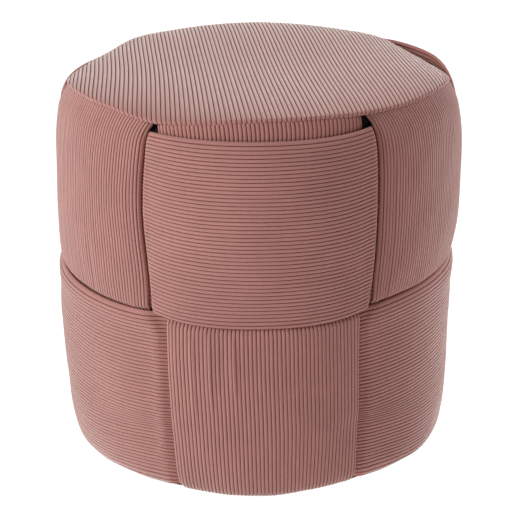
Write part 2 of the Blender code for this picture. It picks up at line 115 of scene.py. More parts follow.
SEAM_STEP, CORE_STEP, BASE_STEP = 0.5, 2.5, 1.0   # degrees between their points
STITCH_INSET = 0.0008    # how far the stitches lie inside the top's rim
STITCH_LENGTH, THREAD_RADIUS = 0.62, 0.00040   # length as a share of the wale pitch
BASE_RADIUS, BASE_THICKNESS, BASE_HEM = 0.1762, 0.0016, 0.0004
BASE_CRIMP, BASE_CRIMPS, BASE_CRIMP_FROM = 0.0030, 9, 20.0   # depth, number, first azimuth
BASE_RIPPLE, BASE_RIPPLES = 0.0006, (47.0, 5.0)   # small unevenness of its rim: depth, waves
BASE_RINGS = (0.10, 0.30, 0.50, 0.70, 0.85, 0.93, 0.97, 0.992)   # shares of its radius

PROFILE = (  # radius, height
    (0.1898, 0.3890), (0.1934, 0.3755), (0.1962, 0.3540), (0.1984, 0.3140), (0.1990, 0.2740),
    (0.1985, 0.2340), (0.1977, 0.2040), (0.1975, 0.1740), (0.1967, 0.1140), (0.1957, 0.0690),
    (0.1942, 0.0320), (0.1932, 0.0170), (0.1903, 0.0096), (0.1832, 0.0066), (0.1650, 0.0066),
    (0.1480, 0.0066),
)
LEAN = (  # height, how far the pouf leans to the right there, or left where negative
    (0.000, -0.0040), (0.060, -0.0050), (0.140, -0.0056), (0.200, -0.0040), (0.255, -0.0014),
    (0.330, 0.0), (0.420, 0.0),
)
STRAP_END_RADIUS, BAND_END_RADIUS = 0.152, 0.166   # where both end under the pouf

SEAM_HEIGHTS = (  # of the top seam, every 15 degrees from the front
    0.3888, 0.3890, 0.3874, 0.3862, 0.3868, 0.3835, 0.3730, 0.3650, 0.3675, 0.3780, 0.3795, 0.3820,
    0.3840, 0.3835, 0.3820, 0.3815, 0.3720, 0.3705, 0.3755, 0.3840, 0.3870, 0.3862, 0.3815, 0.3855,
)
FOOT_SPREAD = (  # how much wider the foot is, every 30 degrees from the front
    0.0000, -0.0015, 0.0012, -0.0012, 0.0000, 0.0000,
    0.0000, 0.0000, 0.0000, -0.0012, 0.0010, -0.0006,
)
FOOT_LIFT = (  # how much higher it is, at the same places
    0.0038, 0.0088, 0.0016, 0.0000, 0.0000, 0.0010,
    0.0000, 0.0010, 0.0000, 0.0000, 0.0000, 0.0078,
)
FOOT_FROM, FOOT_TO = 0.095, 0.170   # height on the side and radius below, where both fade
FOOT_FULL = 1.6          # how soon they reach their full amount
FOOT_TURN = 0.020        # below this height the profile turns inwards

# Where each strap's edges run, in degrees from its centre line, at these heights.
EDGE_HEIGHTS = (0.389, 0.378, 0.354, 0.294, 0.204, 0.104, 0.020)
LEFT_EDGES = (
    (-29.5, -28.8, -28.0, -27.5, -25.2, -24.3, -24.0),
    (-28.8, -27.0, -26.0, -26.0, -26.4, -27.8, -27.5),
    (-29.4, -28.4, -28.0, -27.5, -29.0, -29.4, -29.2),
    (-29.8, -28.8, -28.6, -27.8, -29.2, -27.6, -27.5),
    (-29.4, -28.4, -28.0, -27.4, -29.2, -29.6, -29.2),
    (-29.8, -28.8, -28.4, -27.6, -29.0, -27.6, -27.5),
)
RIGHT_EDGES = (
    (29.6, 29.6, 28.8, 27.5, 29.2, 30.2, 30.0),
    (29.8, 28.8, 28.6, 27.9, 29.2, 27.6, 27.5),
    (29.4, 28.4, 28.0, 27.5, 29.0, 29.5, 29.2),
    (29.8, 28.8, 28.6, 27.7, 29.0, 27.6, 27.5),
    (29.4, 28.4, 28.0, 27.5, 29.1, 29.4, 29.2),
    (29.2, 27.8, 27.1, 26.5, 29.0, 30.4, 30.4),
)
# Heights of the bands' edges: at the middle of each strap, and at the border to its right.
UPPER_BOTTOM = (
    (0.1912, 0.2015), (0.2170, 0.2040), (0.1920, 0.2040),
    (0.2170, 0.2040), (0.1920, 0.2040), (0.2170, 0.2013),
)
UPPER_TOP = (
    (0.3725, 0.3790), (0.3700, 0.3330), (0.3825, 0.3690),
    (0.3700, 0.3720), (0.3740, 0.3640), (0.3700, 0.3750),
)
LOWER_TOP = (
    (0.1820, 0.1970), (0.2020, 0.2060), (0.1820, 0.1980),
    (0.2040, 0.1980), (0.1820, 0.2045), (0.1970, 0.2000),
)
WAIST = 0.2010           # height at which the bands meet
UPPER_MIDDLE, UPPER_HALF = 0.2890, 0.0900   # middle and half height of a band's crossings
LOWER_MIDDLE, LOWER_HALF = 0.1080, 0.0950
BAND_GIRTH_RADIUS = 0.199   # at which a band's length is measured

# Creases along the straps' length, and raised streaks where the depth is negative.
CREASES = (  # strap, from its left (or -right) edge, half width, depth, from height, to height
    (1, 0.0057, 0.0018, 0.0012, 0.200, 0.385),
    (1, 0.0095, 0.0018, 0.0013, 0.195, 0.375),
    (1, 0.0133, 0.0022, 0.0010, 0.195, 0.350),
    (5, -0.0095, 0.0020, 0.0009, 0.190, 0.345),
    (5, -0.0057, 0.0018, 0.0008, 0.190, 0.340),
    (5, -0.0680, 0.0034, 0.0006, 0.195, 0.262),
    (0, 0.0260, 0.0019, -0.0012, 0.095, 0.185),
    (0, 0.0430, 0.0021, -0.0014, 0.105, 0.188),
    (0, 0.0650, 0.0019, -0.0014, 0.120, 0.188),
    (0, 0.0545, 0.0026, 0.0009, 0.125, 0.188),
)
CREASE_FADE = 0.012      # height over which a crease fades at its ends

TOP_GRAIN = 5.8          # degrees by which the top's wales turn from straight ahead
TOP_FAN = 2.0            # how much they spread towards the front
TOP_STEPS, TOP_CROWDING = 36, 2.2   # points from a wale's middle to the rim, crowded there
TOP_OUTERMOST, TOP_INSIDE = 0.9994, 0.985   # reach of its outermost line and its inner face
# How much closer a strap's wales lie towards its right edge, or its left where negative.
STRAP_BUNCH = (0.0, -0.10, 0.0, 0.0, 0.0, 0.10)
UPPER_BUNCH = 0.035      # the same, of the upper band's wales towards its top
# Flat cuts, width by length.
STRAP_CUT, UPPER_CUT, LOWER_CUT = (0.210, 0.430), (1.250, 0.202), (1.250, 0.235)
TOP_CUT, BASE_CUT = 0.396, 0.360

# ---- columns and rows -----------------------------------------------------------------
HEM_WALES = 4            # on the hem turned back behind a band's top edge
STRAP_EDGE, BAND_EDGE = 1.25, 1.5   # how many times as wide as others the edge's wale is
PHASES = (0.0, 0.07, 0.18, 0.5, 0.82, 0.93)          # samples across each wale
EDGE_PHASES = (0.30, 0.33, 0.38, 0.46, 0.60, 0.82, 0.93)
# Shares of the width, from 1 at one edge to -1 at the other, across the inner faces.
STRAP_LINING = (0.96, 0.88, 0.70, 0.45, 0.15, -0.15, -0.45, -0.70, -0.88, -0.96)
BAND_LINING = (0.72, 0.50, 0.20, -0.10, -0.45, -0.66, -0.73, -0.80, -0.87, -0.95)
TOP_LINING = (0.97, 0.93, 0.85, 0.7, 0.45, 0.15, -0.15, -0.45, -0.7, -0.85, -0.93, -0.97)
# Degrees from a dive to the columns of a band on each side of it.
DIVE_OFFSETS = (0, 0.35, 0.7, 1.05, 1.4, 1.8, 2.4, 3.2, 4.5, 6.5, 9, 12, 15.5, 19, 22.5, 26, 30)
FOOT_TOP, FOOT_END = 0.0185, 0.180   # height and radius between which a strap rounds the foot
FOOT_START, FOOT_STEP = 0.0015, 0.0018   # run to the first row there, and between rows
TURNED_ROWS = 10         # from there to a strap's end underneath
STRAP_ROWS = (  # from this height to that one, and the step between rows
    (SEAM_HEIGHT, 0.3845, 0.0009), (0.3845, 0.360, 0.0035), (0.360, 0.222, 0.0085),
    (0.222, 0.184, 0.0014), (0.184, 0.060, 0.0100), (0.060, FOOT_TOP, 0.0050),
)


# ---- curves and places ----------------------------------------------------------------
def curve_between(before, start, end, after, share):
    """Points of a Catmull-Rom curve, at a share of its way from start to end."""
    slope_in, slope_out = (end - before) / 2.0, (after - start) / 2.0
    bend = 3.0 * (end - start) - 2.0 * slope_in - slope_out
    twist = 2.0 * (start - end) + slope_in + slope_out
    return start + slope_in * share + bend * share ** 2 + twist * share ** 3


def smooth_curve(points, steps):
    """Points on a smooth curve through the given ones."""
    knots = np.asarray(points, float)
    knots = np.vstack([2 * knots[0] - knots[1], knots, 2 * knots[-1] - knots[-2]])
    share = np.linspace(0.0, 1.0, steps, endpoint=False)[:, None]
    spans = [curve_between(*four, share) for four in zip(knots, knots[1:], knots[2:], knots[3:])]
    return np.vstack(spans + [knots[-2:-1]])


def round_value(azimuth, values):
    """A smooth value round the pouf, through values evenly spaced from the front."""
    count = len(values)
    place = np.mod(np.asarray(azimuth, float), 360.0) / 360.0 * count
    index = np.floor(place).astype(int) % count
    ring = np.asarray(values, float)
    four = [ring[(index + step) % count] for step in (-1, 0, 1, 2)]
    return curve_between(*four, place - np.floor(place))


def soft_step(x):
    """-1 below x = -1, 1 above x = 1, and smooth between."""
    x = np.clip(x, -1.0, 1.0)
    return 1.5 * x - 0.5 * x ** 3


def soft_ramp(x):
    """0 below x = 0, 1 above x = 1, and smooth between."""
    return 0.5 + 0.5 * soft_step(2.0 * x - 1.0)


LINE = smooth_curve(PROFILE, steps=24)
RUNS = np.concatenate([[0.0], np.cumsum(np.hypot(*np.diff(LINE, axis=0).T))])
SLOPES = np.gradient(LINE, RUNS, axis=0)
BOW = smooth_curve(LEAN, steps=12)


def run_at_height(height):
    """The run at a height on the side."""
    return np.interp(height, LINE[::-1, 1], RUNS[::-1])


def run_at_underside(radius):
    """The run at a radius on the foot or the underside."""
    low = LINE[:, 1] < FOOT_TURN
    return np.interp(radius, LINE[low][::-1, 0], RUNS[low][::-1])


def radius_at(run):
    """The side's radius at a run."""
    return np.interp(run, RUNS, LINE[:, 0])


def height_at(run):
    """The side's height at a run."""
    return np.interp(run, RUNS, LINE[:, 1])


def strap_edges(strap, run):
    """Azimuths of a strap's left and right edges at a run."""
    runs = run_at_height(np.array(EDGE_HEIGHTS))
    fine = smooth_curve(np.column_stack([runs, LEFT_EDGES[strap], RIGHT_EDGES[strap]]), steps=12)
    centre = strap * CELL
    return (centre + np.interp(run, fine[:, 0], fine[:, 1]),
            centre + np.interp(run, fine[:, 0], fine[:, 2]))


def gap_beside(strap, run):
    """Azimuths of the two sides of the gap to the right of a strap."""
    left = strap_edges(strap, run)[1]
    right = strap_edges((strap + 1) % STRAPS, run)[0]
    return left, right + (360.0 if strap == STRAPS - 1 else 0.0)


def band_is_over(strap, over_even):
    """Whether a band lies over a strap: the upper one lies over the even ones."""
    return (strap % 2 == 0) == over_even


def dive_azimuth(strap, run, over_even):
    """Azimuth at which a band changes level, in the gap to the right of a strap."""
    gap_left, gap_right = gap_beside(strap, run)
    gap = gap_right - gap_left
    if over_even:
        tuck = np.minimum(UPPER_SHARE * gap, UPPER_TUCK)
    else:
        tuck = np.minimum(LOWER_SHARE * gap, LOWER_TUCK)
        height = height_at(run)
        corner = soft_ramp((height - CORNER_FROM) / (WAIST - CORNER_FROM))
        tuck = tuck + (CORNER_TUCK * gap - tuck) * corner
    return gap_right - tuck if band_is_over(strap, over_even) else gap_left + tuck


def hidden_azimuth(strap, over_even):
    """Azimuth behind a strap's edge, to the right of a strap, where a band's edge steps back."""
    gap_left, gap_right = gap_beside(strap, run_at_height(WAIST))
    if band_is_over(strap, over_even):
        return gap_right + HIDDEN_TUCK
    return gap_left - HIDDEN_TUCK


def band_edge(azimuth, table, over_even):
    """Height of a band's edge, from its values at the straps and at their borders."""
    azimuth = np.mod(np.asarray(azimuth, float) + HALF_CELL, 360.0) - HALF_CELL
    borders = [hidden_azimuth(strap, over_even) for strap in range(STRAPS)]
    borders = np.array([borders[-1] - 360.0] + borders)
    azimuth = np.where(azimuth >= borders[-1], azimuth - 360.0, azimuth)
    azimuth = np.where(azimuth < borders[0], azimuth + 360.0, azimuth)
    cell = np.clip(np.searchsorted(borders, azimuth, side="right") - 1, 0, STRAPS - 1)
    share = (azimuth - borders[cell]) / (borders[cell + 1] - borders[cell])
    middle = np.array([row[0] for row in table])[cell]
    at_border = np.array([row[1] for row in table])
    border = at_border[cell - 1] + (at_border[cell] - at_border[cell - 1]) * share
    power = np.where(band_is_over(cell, over_even), CORNER_POWER, HIDDEN_POWER)
    return border + (middle - border) * (1.0 - np.abs(2.0 * share - 1.0) ** power)


def crossing_crown(azimuth, run):
    """1 at the middle of a crossing and 0 at its borders."""
    across = (np.mod(azimuth + HALF_CELL, CELL) - HALF_CELL) / HALF_CELL
    height = height_at(run)
    upper = height > WAIST
    middle = np.where(upper, UPPER_MIDDLE, LOWER_MIDDLE)
    half = np.where(upper, UPPER_HALF, LOWER_HALF)
    along = np.clip((height - middle) / half, -1.0, 1.0)
    return (1.0 - np.abs(across) ** PUFF_POWER) * (1.0 - np.abs(along) ** PUFF_POWER)


def strap_level(strap, azimuth, run):
    """1 where a strap lies on top, -1 where it lies below."""
    if strap % 2 == 1:
        middle = run_at_height(band_edge(azimuth, LOWER_TOP, over_even=False)) - WAIST_TUCK_OVER
        return soft_step((middle - run) / WAIST_SWITCH_OVER)
    middle = run_at_height(band_edge(azimuth, UPPER_BOTTOM, over_even=True)) + WAIST_TUCK_UNDER
    return -soft_step((middle - run) / WAIST_SWITCH_UNDER)


def band_level(azimuth, run, over_even):
    """1 where a band lies on top, -1 where it lies below, and its dip beside the straps."""
    radius = radius_at(run)
    switch = UPPER_SWITCH if over_even else LOWER_SWITCH
    level = np.zeros(np.broadcast(azimuth, run).shape)
    dip = np.zeros(level.shape)
    for strap in range(STRAPS):
        dive = dive_azimuth(strap, run, over_even)
        away = np.radians(np.mod(azimuth - dive + 180.0, 360.0) - 180.0) * radius
        sign = 1.0 if band_is_over(strap, over_even) else -1.0
        here = np.mod(azimuth, 360.0) // CELL == strap
        level = np.where(here, -sign * soft_step(away / switch), level)
        slot = np.exp(-((sign * away - SLOT_PLACE) / SLOT_WIDTH) ** 2)
        dip = np.where(here, SLOT_DIP * slot, dip)
    height = height_at(run)
    return level, dip * over_even * soft_ramp((height - WAIST) / SLOT_GROWTH)


def foot_share(run):
    """0 on the side, 1 round the foot and 0 again on the underside."""
    start, end = run_at_height(FOOT_FROM), run_at_underside(FOOT_TO)
    middle = (start + end) / 2.0
    return soft_ramp(FOOT_FULL * (1.0 - np.abs(run - middle) / (end - middle)))


def on_the_round(azimuth, radius, height):
    """Points at an azimuth, radius and height on the slightly leaning pouf."""
    angle = np.radians(azimuth)
    lean = np.interp(height, BOW[:, 0], BOW[:, 1])
    return np.stack(np.broadcast_arrays(
        radius * np.sin(angle) + lean + SUMMIT.x,
        -radius * np.cos(angle) + SUMMIT.y, height), axis=-1)


def on_the_side(azimuth, run, offset, follow_seam=1.0):
    """Points at an offset outside the weave's middle surface."""
    radius = radius_at(run)
    height = height_at(run)
    slope_r = np.interp(run, RUNS, SLOPES[:, 0])
    slope_z = np.interp(run, RUNS, SLOPES[:, 1])
    drop = round_value(azimuth, SEAM_HEIGHTS) - SEAM_HEIGHT
    near_seam = soft_ramp((height - STRETCH_FROM) / (SEAM_HEIGHT - STRETCH_FROM))
    foot = foot_share(run)
    radius = radius - slope_z * offset + round_value(azimuth, FOOT_SPREAD) * foot
    height = (height + slope_r * offset + drop * near_seam * follow_seam
              + round_value(azimuth, FOOT_LIFT) * foot)
    return on_the_round(azimuth, radius, height)


def rolled(level, from_edge, loose):
    """How far the outer and inner faces turn in, at a distance from a sheet's edge.

    The roll is wider and deeper where the sheet is loose, from 0 to 1."""
    deepest = ROLL_OVER + (UPPER_ROLL_OVER - ROLL_OVER) * loose
    depth = ROLL_UNDER + (deepest - ROLL_UNDER) * (level + 1.0) / 2.0
    width = EDGE_ROLL + (UPPER_ROLL - EDGE_ROLL) * loose
    share = np.clip(1.0 - from_edge / width, 0.0, 1.0)
    ease = EASE * loose * np.clip(1.0 - from_edge / EASE_WIDTH, 0.0, 1.0) ** 2
    outer = depth * (1.0 - np.sqrt(1.0 - share ** 2)) + ease
    inner = (depth + EDGE_TIP - sheet_thickness()) * soft_ramp(share) + ease
    return outer, inner


def sheet_offset(level, crown, from_edge, side, flare=0.0, loose=0.0):
    """Offset of a sheet's outer (side 1) or inner (side -1) face."""
    on_top = np.clip(level, 0.0, 1.0)
    middle = WEAVE_STEP * level + (SHARED_PUFF + TOP_PUFF * on_top) * crown + flare * on_top
    outer, inner = rolled(level, from_edge, loose)
    return middle + side * sheet_thickness() / 2.0 - np.where(side > 0, outer, inner)


def pressed_and_shaded_pile(level, from_edge):
    """1 where the pile lies flat and is drawn without sheen, which also paints shade: on the walls
    between layers and round the edges.
    """
    return np.where((level < PRESSED_SHADED_LEVEL) | (from_edge < PRESSED_SHADED_EDGE), 1.0, 0.0)


def slack(azimuth, run, piece):
    """The small uneven swells of hand-stretched cloth."""
    angle = np.radians(azimuth)
    swell = sum(size * np.sin(round_waves * angle + run_waves * run + shift * piece)
                for size, round_waves, run_waves, shift in SWELLS)
    return swell * bpy.context.scene.pouf_cloth.slack


def sheet_thickness():
    """Thickness of a corduroy sheet."""
    return bpy.context.scene.pouf_cloth.thickness


def graded(*stretches):
    """Places along a line, given as (from, to, step) stretches end to end."""
    places = [np.linspace(start, end, max(2, round(abs(end - start) / step) + 1))[:-1]
              for start, end, step in stretches]
    return np.concatenate(places + [[stretches[-1][1]]])


def wale_places(count, edge_width):
    """Wale coordinates across a sheet and their shares of its width, from -1 to 1.

    The first and last wale are edge_width times as wide as the others, and rolled."""
    inside = [wale + phase for wale in range(1, count - 1) for phase in PHASES]
    places = np.array(list(EDGE_PHASES) + inside + [count - 1.0]
                      + [count - phase for phase in EDGE_PHASES[::-1]])
    first = np.minimum(places, 1.0) * edge_width
    inner = np.clip(places - 1.0, 0.0, count - 2.0)
    last = np.maximum(places - (count - 1.0), 0.0) * edge_width
    width = first + inner + last
    share = 2.0 * (width - width[0]) / (width[-1] - width[0]) - 1.0
    return places, share


def bunched(share, amount):
    """Shares of a width, with the wales closer together towards 1."""
    return share + amount * (1.0 - share ** 2)


# ---- meshes ---------------------------------------------------------------------------
def grid_faces(rings, size, closed):
    """Corner numbers of the quads that join rings of points one to the next."""
    ring = np.arange(rings if closed else rings - 1)[:, None]
    place = np.arange(size)[None, :]
    here, there = ring * size, (ring + 1) % rings * size
    after = (place + 1) % size
    return np.stack([here + place, there + place, there + after, here + after],
                    axis=-1).reshape(-1, 4)


def end_faces(outer_count, size):
    """Polygons across a sheet's end, between its outer face's points and its inner face's."""
    inner_count = size - outer_count
    cuts = np.round(np.linspace(0, outer_count - 1, inner_count + 2)).astype(int)
    faces = []
    for part in range(inner_count + 1):
        near = list(range(cuts[part], cuts[part + 1] + 1))
        far = [size - part - 1] if part < inner_count else []
        far += [size - part] if part > 0 else []
        faces.append(near + far)
    return faces


def lofted_faces(rings, outer_count, size, closed=False):
    """Quads of a loft, and the polygons across its two ends where it is open."""
    quads = grid_faces(rings, size, closed)
    if closed:
        return quads, []
    start = end_faces(outer_count, size)
    last = (rings - 1) * size
    return quads, start + [[last + i for i in reversed(face)] for face in start]


def turned_faces(rings, size):
    """Quads between rings of points, and the fans that close them at both ends."""
    quads = grid_faces(rings, size, closed=False)
    low, high = rings * size, rings * size + 1
    place = np.arange(size)
    after = (place + 1) % size
    last = (rings - 1) * size
    fans = [[low, b, a] for a, b in zip(place, after)]
    fans += [[high, last + a, last + b] for a, b in zip(place, after)]
    return quads[:, ::-1], fans


def linked(name, data):
    """A new object in the scene that holds this data."""
    item = bpy.data.objects.new(name, data)
    bpy.context.scene.collection.objects.link(item)
    return item


def mesh_of(name, points, quads, polygons=()):
    """A mesh object, shaded smooth, of quads and a few larger polygons."""
    mesh = bpy.data.meshes.new(name)
    corners = np.concatenate([quads.ravel()] + [np.array(face) for face in polygons]).astype(int)
    totals = np.array([4] * len(quads) + [len(face) for face in polygons])
    mesh.vertices.add(len(points))
    mesh.vertices.foreach_set("co", points.ravel())
    mesh.loops.add(len(corners))
    mesh.loops.foreach_set("vertex_index", corners)
    mesh.polygons.add(len(totals))
    mesh.polygons.foreach_set("loop_start", np.concatenate([[0], np.cumsum(totals)[:-1]]))
    mesh.update(calc_edges=True)
    mesh.validate()
    mesh.shade_smooth()
    return linked(name, mesh)


def put_attribute(mesh, name, values):
    """Stores one number for each point of a mesh."""
    store = mesh.attributes.new(name, "FLOAT", "POINT")
    store.data.foreach_set("value", np.ascontiguousarray(values, float).ravel())


def put_cloth_uv(mesh, wale, along, wrap=0.0):
    """Lays the cloth's own map on a mesh: wales across it, and pitches along it."""
    corners = np.empty(len(mesh.loops), int)
    mesh.loops.foreach_get("vertex_index", corners)
    starts = np.empty(len(mesh.polygons), int)
    totals = np.empty(len(mesh.polygons), int)
    mesh.polygons.foreach_get("loop_start", starts)
    mesh.polygons.foreach_get("loop_total", totals)
    v = along[corners]
    if wrap:
        first = np.repeat(np.maximum.reduceat(v, starts), totals)
        v = np.where(first - v > wrap / 2.0, v + wrap, v)
    layer = mesh.uv_layers.new(name="cloth")
    layer.data.foreach_set("uv", np.stack([wale[corners], v], axis=-1).ravel())


def edge_relief(wale, count):
    """How much of its height a wale keeps: less on the first and the last."""
    return soft_ramp(np.minimum(wale, count - wale) / EDGE_GROWTH)


def hem_places(count, edge_width):
    """Wale coordinates on a hem turned back behind a sheet's top edge, and their distance
    from that edge in wales."""
    first = list(EDGE_PHASES[1:])
    inside = [wale + phase for wale in range(1, HEM_WALES) for phase in PHASES]
    places = np.array(first + inside + [float(HEM_WALES)])
    away = np.minimum(places - EDGE_PHASES[0], 1.0) * edge_width + np.maximum(places - 1.0, 0.0)
    return count + places, away


def both_faces(share, lining):
    """Shares across a sheet's outer face and then its inner one, and the side of each."""
    side = np.array([1] * len(share) + [-1] * len(lining))
    return np.concatenate([share, lining])[None, :], side[None, :]


def sheet_object(name, points, wale, count, along, pressed_and_shaded, wrap=0.0, hem=()):
    """A closed sheet with this count of wales, lofted through rings of points.

    Each ring runs over the outer face, where the wale coordinates are given, and back over
    the inner one, whose first points are those of a hem with wale coordinates of its own.
    along is each ring's place along the cloth, in wale pitches, and the argument after it is 1
    where the pile lies flat and is drawn without sheen, as painted shade. With a wrap, the length
    of a closed sheet, the last ring joins the first."""
    rings, size = points.shape[:2]
    item = mesh_of(name, points.reshape(-1, 3),
                   *lofted_faces(rings, len(wale), size, closed=wrap > 0.0))
    hem = np.asarray(hem, float)
    faced = np.concatenate([wale, hem])
    bare = size - len(faced)
    filler = np.linspace(faced[-1], wale[0], bare + 2)[1:-1]
    wales = np.broadcast_to(np.concatenate([faced, filler]), (rings, size))
    turned = edge_relief(hem - wale[0] - wale[-1], HEM_WALES)
    relief = np.concatenate([edge_relief(wale, count), turned, np.zeros(bare)])
    put_attribute(item.data, "wale", wales)
    put_attribute(item.data, "relief", np.broadcast_to(relief, (rings, size)))
    put_attribute(item.data, "pressed_and_shaded", np.broadcast_to(pressed_and_shaded, (rings, size)))
    put_cloth_uv(item.data, wales.reshape(-1),
                 np.broadcast_to(np.asarray(along)[:, None], (rings, size)).reshape(-1), wrap)
    return item


# ---- node trees -----------------------------------------------------------------------
SWELL_SCALE = 55.0       # of the noise that makes a wale's height uneven along it
GROOVE_SINK = 0.6        # how far a groove lies below the sheet's face, in ridge heights
GROOVE_RIDGE = 0.5       # share of a ridge's height below which the ground shows, dark partly in its own colour and partly with painted shade


def new_tree(name, inputs):
    """A geometry node tree with named inputs and one geometry output."""
    tree = bpy.data.node_groups.new(name, "GeometryNodeTree")
    tree.interface.new_socket("Geometry", in_out="INPUT", socket_type="NodeSocketGeometry")
    for label, kind in inputs:
        tree.interface.new_socket(label, in_out="INPUT", socket_type=kind)
    tree.interface.new_socket("Geometry", in_out="OUTPUT", socket_type="NodeSocketGeometry")
    return tree


class Wiring:
    """Adds nodes to a tree and links them."""

    def __init__(self, tree):
        """Adds to this tree, from left to right."""
        self.tree = tree
        self.column = 0

    def node(self, kind, feeds=None, **settings):
        """A new node with these settings, and with its inputs fed by name or number."""
        item = self.tree.nodes.new(kind)
        item.location = (self.column, 0)
        self.column += 180
        for key, value in settings.items():
            setattr(item, key, value)
        for key, value in (feeds or {}).items():
            self.feed(item.inputs[key], value)
        return item

    def feed(self, socket, value):
        """Links a socket to another one, or sets its value."""
        if isinstance(value, bpy.types.NodeSocket):
            self.tree.links.new(value, socket)
        else:
            socket.default_value = value

    def math(self, operation, *values, clamp=False):
        """The output of a maths node."""
        return self.node("ShaderNodeMath", dict(enumerate(values)),
                         operation=operation, use_clamp=clamp).outputs[0]

    def attribute(self, name):
        """The output that reads a number stored on a mesh."""
        return self.node("GeometryNodeInputNamedAttribute", {"Name": name},
                         data_type="FLOAT").outputs[0]

    def dressed(self, geometry, material, chosen=True):
        """Geometry whose chosen faces have a material."""
        feeds = {"Geometry": geometry, "Selection": chosen, "Material": material}
        return self.node("GeometryNodeSetMaterial", feeds).outputs[0]


def wale_tree():
    """Geometry nodes that raise a sheet's wales along its normals."""
    tree = new_tree("Corduroy wales", (
        ("Ridge height", "NodeSocketFloat"),
        ("Ridge roundness", "NodeSocketFloat"),
        ("Unevenness", "NodeSocketFloat"),
        ("Seed", "NodeSocketInt"),
        ("Pile", "NodeSocketMaterial"),
        ("Pressed and shaded pile", "NodeSocketMaterial"),
        ("Ground with shade", "NodeSocketMaterial"),
    ))
    wires = Wiring(tree)
    inputs = wires.node("NodeGroupInput")
    # The ground material is dark partly with painted shade of the grooves.
    height, roundness, unevenness, seed, pile, pressed_and_shaded, ground = inputs.outputs[1:8]
    wale = wires.attribute("wale")
    across = wires.math("MULTIPLY_ADD", wires.math("FRACT", wale), 2.0, -1.0)
    hollow = wires.math("POWER", wires.math("ABSOLUTE", across), roundness)
    ridge = wires.math("SQRT", wires.math("SUBTRACT", 1.0, hollow, clamp=True))
    number = wires.math("ADD", wires.math("FLOOR", wale), seed)
    each = wires.node("ShaderNodeTexWhiteNoise", {"W": number}, noise_dimensions="1D")
    swell = wires.node("ShaderNodeTexNoise", {"W": number, "Scale": SWELL_SCALE, "Detail": 1.0},
                       noise_dimensions="4D")
    mixed = wires.math("ADD", each.outputs["Value"], swell.outputs[0])
    change = wires.math("MULTIPLY_ADD", wires.math("SUBTRACT", mixed, 1.0), unevenness, 1.0)
    shape = wires.math("MULTIPLY_ADD", ridge, change, -GROOVE_SINK)
    lift = wires.math("MULTIPLY", wires.math("MULTIPLY", shape, height),
                      wires.attribute("relief"))
    normal = wires.node("GeometryNodeInputNormal").outputs[0]
    offset = wires.node("ShaderNodeVectorMath", {0: normal, "Scale": lift}, operation="SCALE")
    moved = wires.node("GeometryNodeSetPosition",
                       {"Geometry": inputs.outputs[0], "Offset": offset.outputs[0]})
    # The ridge's height, which also drives the painted shade down the wales' sides.
    stored = wires.node("GeometryNodeStoreNamedAttribute",
                        {"Geometry": moved.outputs[0], "Name": "ridge", "Value": ridge},
                        data_type="FLOAT", domain="POINT")
    cloth = wires.node("GeometryNodeRealizeInstances", {0: stored.outputs[0]}).outputs[0]
    cloth = wires.dressed(cloth, pile)
    # Faces where the pile lies flat get a copy of the pile without sheen, which also paints shade
    # between the layers and round the edges.
    is_flat_and_shaded = wires.math("GREATER_THAN", wires.attribute("pressed_and_shaded"), 0.5)
    cloth = wires.dressed(cloth, pressed_and_shaded, is_flat_and_shaded)
    # Faces low in the grooves get the dark ground, which also paints the grooves' shade.
    is_groove = wires.math("LESS_THAN", wires.attribute("ridge"), GROOVE_RIDGE)
    cloth = wires.dressed(cloth, ground, is_groove)
    wires.node("NodeGroupOutput", {0: cloth})
    return tree


def stitch_tree():
    """Geometry nodes that lay short stitches along a seam line."""
    tree = new_tree("Seam stitches", (
        ("Pitch", "NodeSocketFloat"),
        ("Stitch length", "NodeSocketFloat"),
        ("Thread radius", "NodeSocketFloat"),
        ("Thread", "NodeSocketMaterial"),
    ))
    wires = Wiring(tree)
    inputs = wires.node("NodeGroupInput")
    pitch, length, thick, thread = inputs.outputs[1:5]
    spaced = wires.node("GeometryNodeResampleCurve",
                        {"Curve": inputs.outputs[0], "Length": pitch}, mode="LENGTH")
    tangent = wires.node("GeometryNodeInputTangent").outputs[0]
    turn = wires.node("FunctionNodeAlignRotationToVector", {"Vector": tangent}, axis="Z")
    ball = wires.node("GeometryNodeMeshUVSphere", {"Segments": 6, "Rings": 5, "Radius": 1.0})
    half_length = wires.math("MULTIPLY", length, 0.5)
    sizes = wires.node("ShaderNodeCombineXYZ", {0: thick, 1: thick, 2: half_length})
    laid = wires.node("GeometryNodeInstanceOnPoints", {
        "Points": spaced.outputs[0], "Instance": ball.outputs["Mesh"],
        "Rotation": turn.outputs[0], "Scale": sizes.outputs[0],
    })
    real = wires.node("GeometryNodeRealizeInstances", {0: laid.outputs[0]})
    smooth = wires.node("GeometryNodeSetShadeSmooth", {0: real.outputs[0]})
    wires.node("NodeGroupOutput", {0: wires.dressed(smooth.outputs[0], thread)})
    return tree


def run_tree(item, tree, values):
    """Runs a node tree on an object and keeps the result as its plain mesh."""
    modifier = item.modifiers.new(tree.name, "NODES")
    modifier.node_group = tree
    for socket in tree.interface.items_tree:
        if socket.in_out == "INPUT" and socket.name in values:
            modifier[socket.identifier] = values[socket.name]
    graph = bpy.context.evaluated_depsgraph_get()
    mesh = bpy.data.meshes.new_from_object(item.evaluated_get(graph), depsgraph=graph)
    name = item.name
    old = item.data
    if item.type == "CURVE":
        bpy.data.objects.remove(item)
        bpy.data.curves.remove(old)
        item = linked(name, mesh)
    else:
        item.modifiers.remove(modifier)
        item.data = mesh
        bpy.data.meshes.remove(old)
    mesh.name = name
    return item


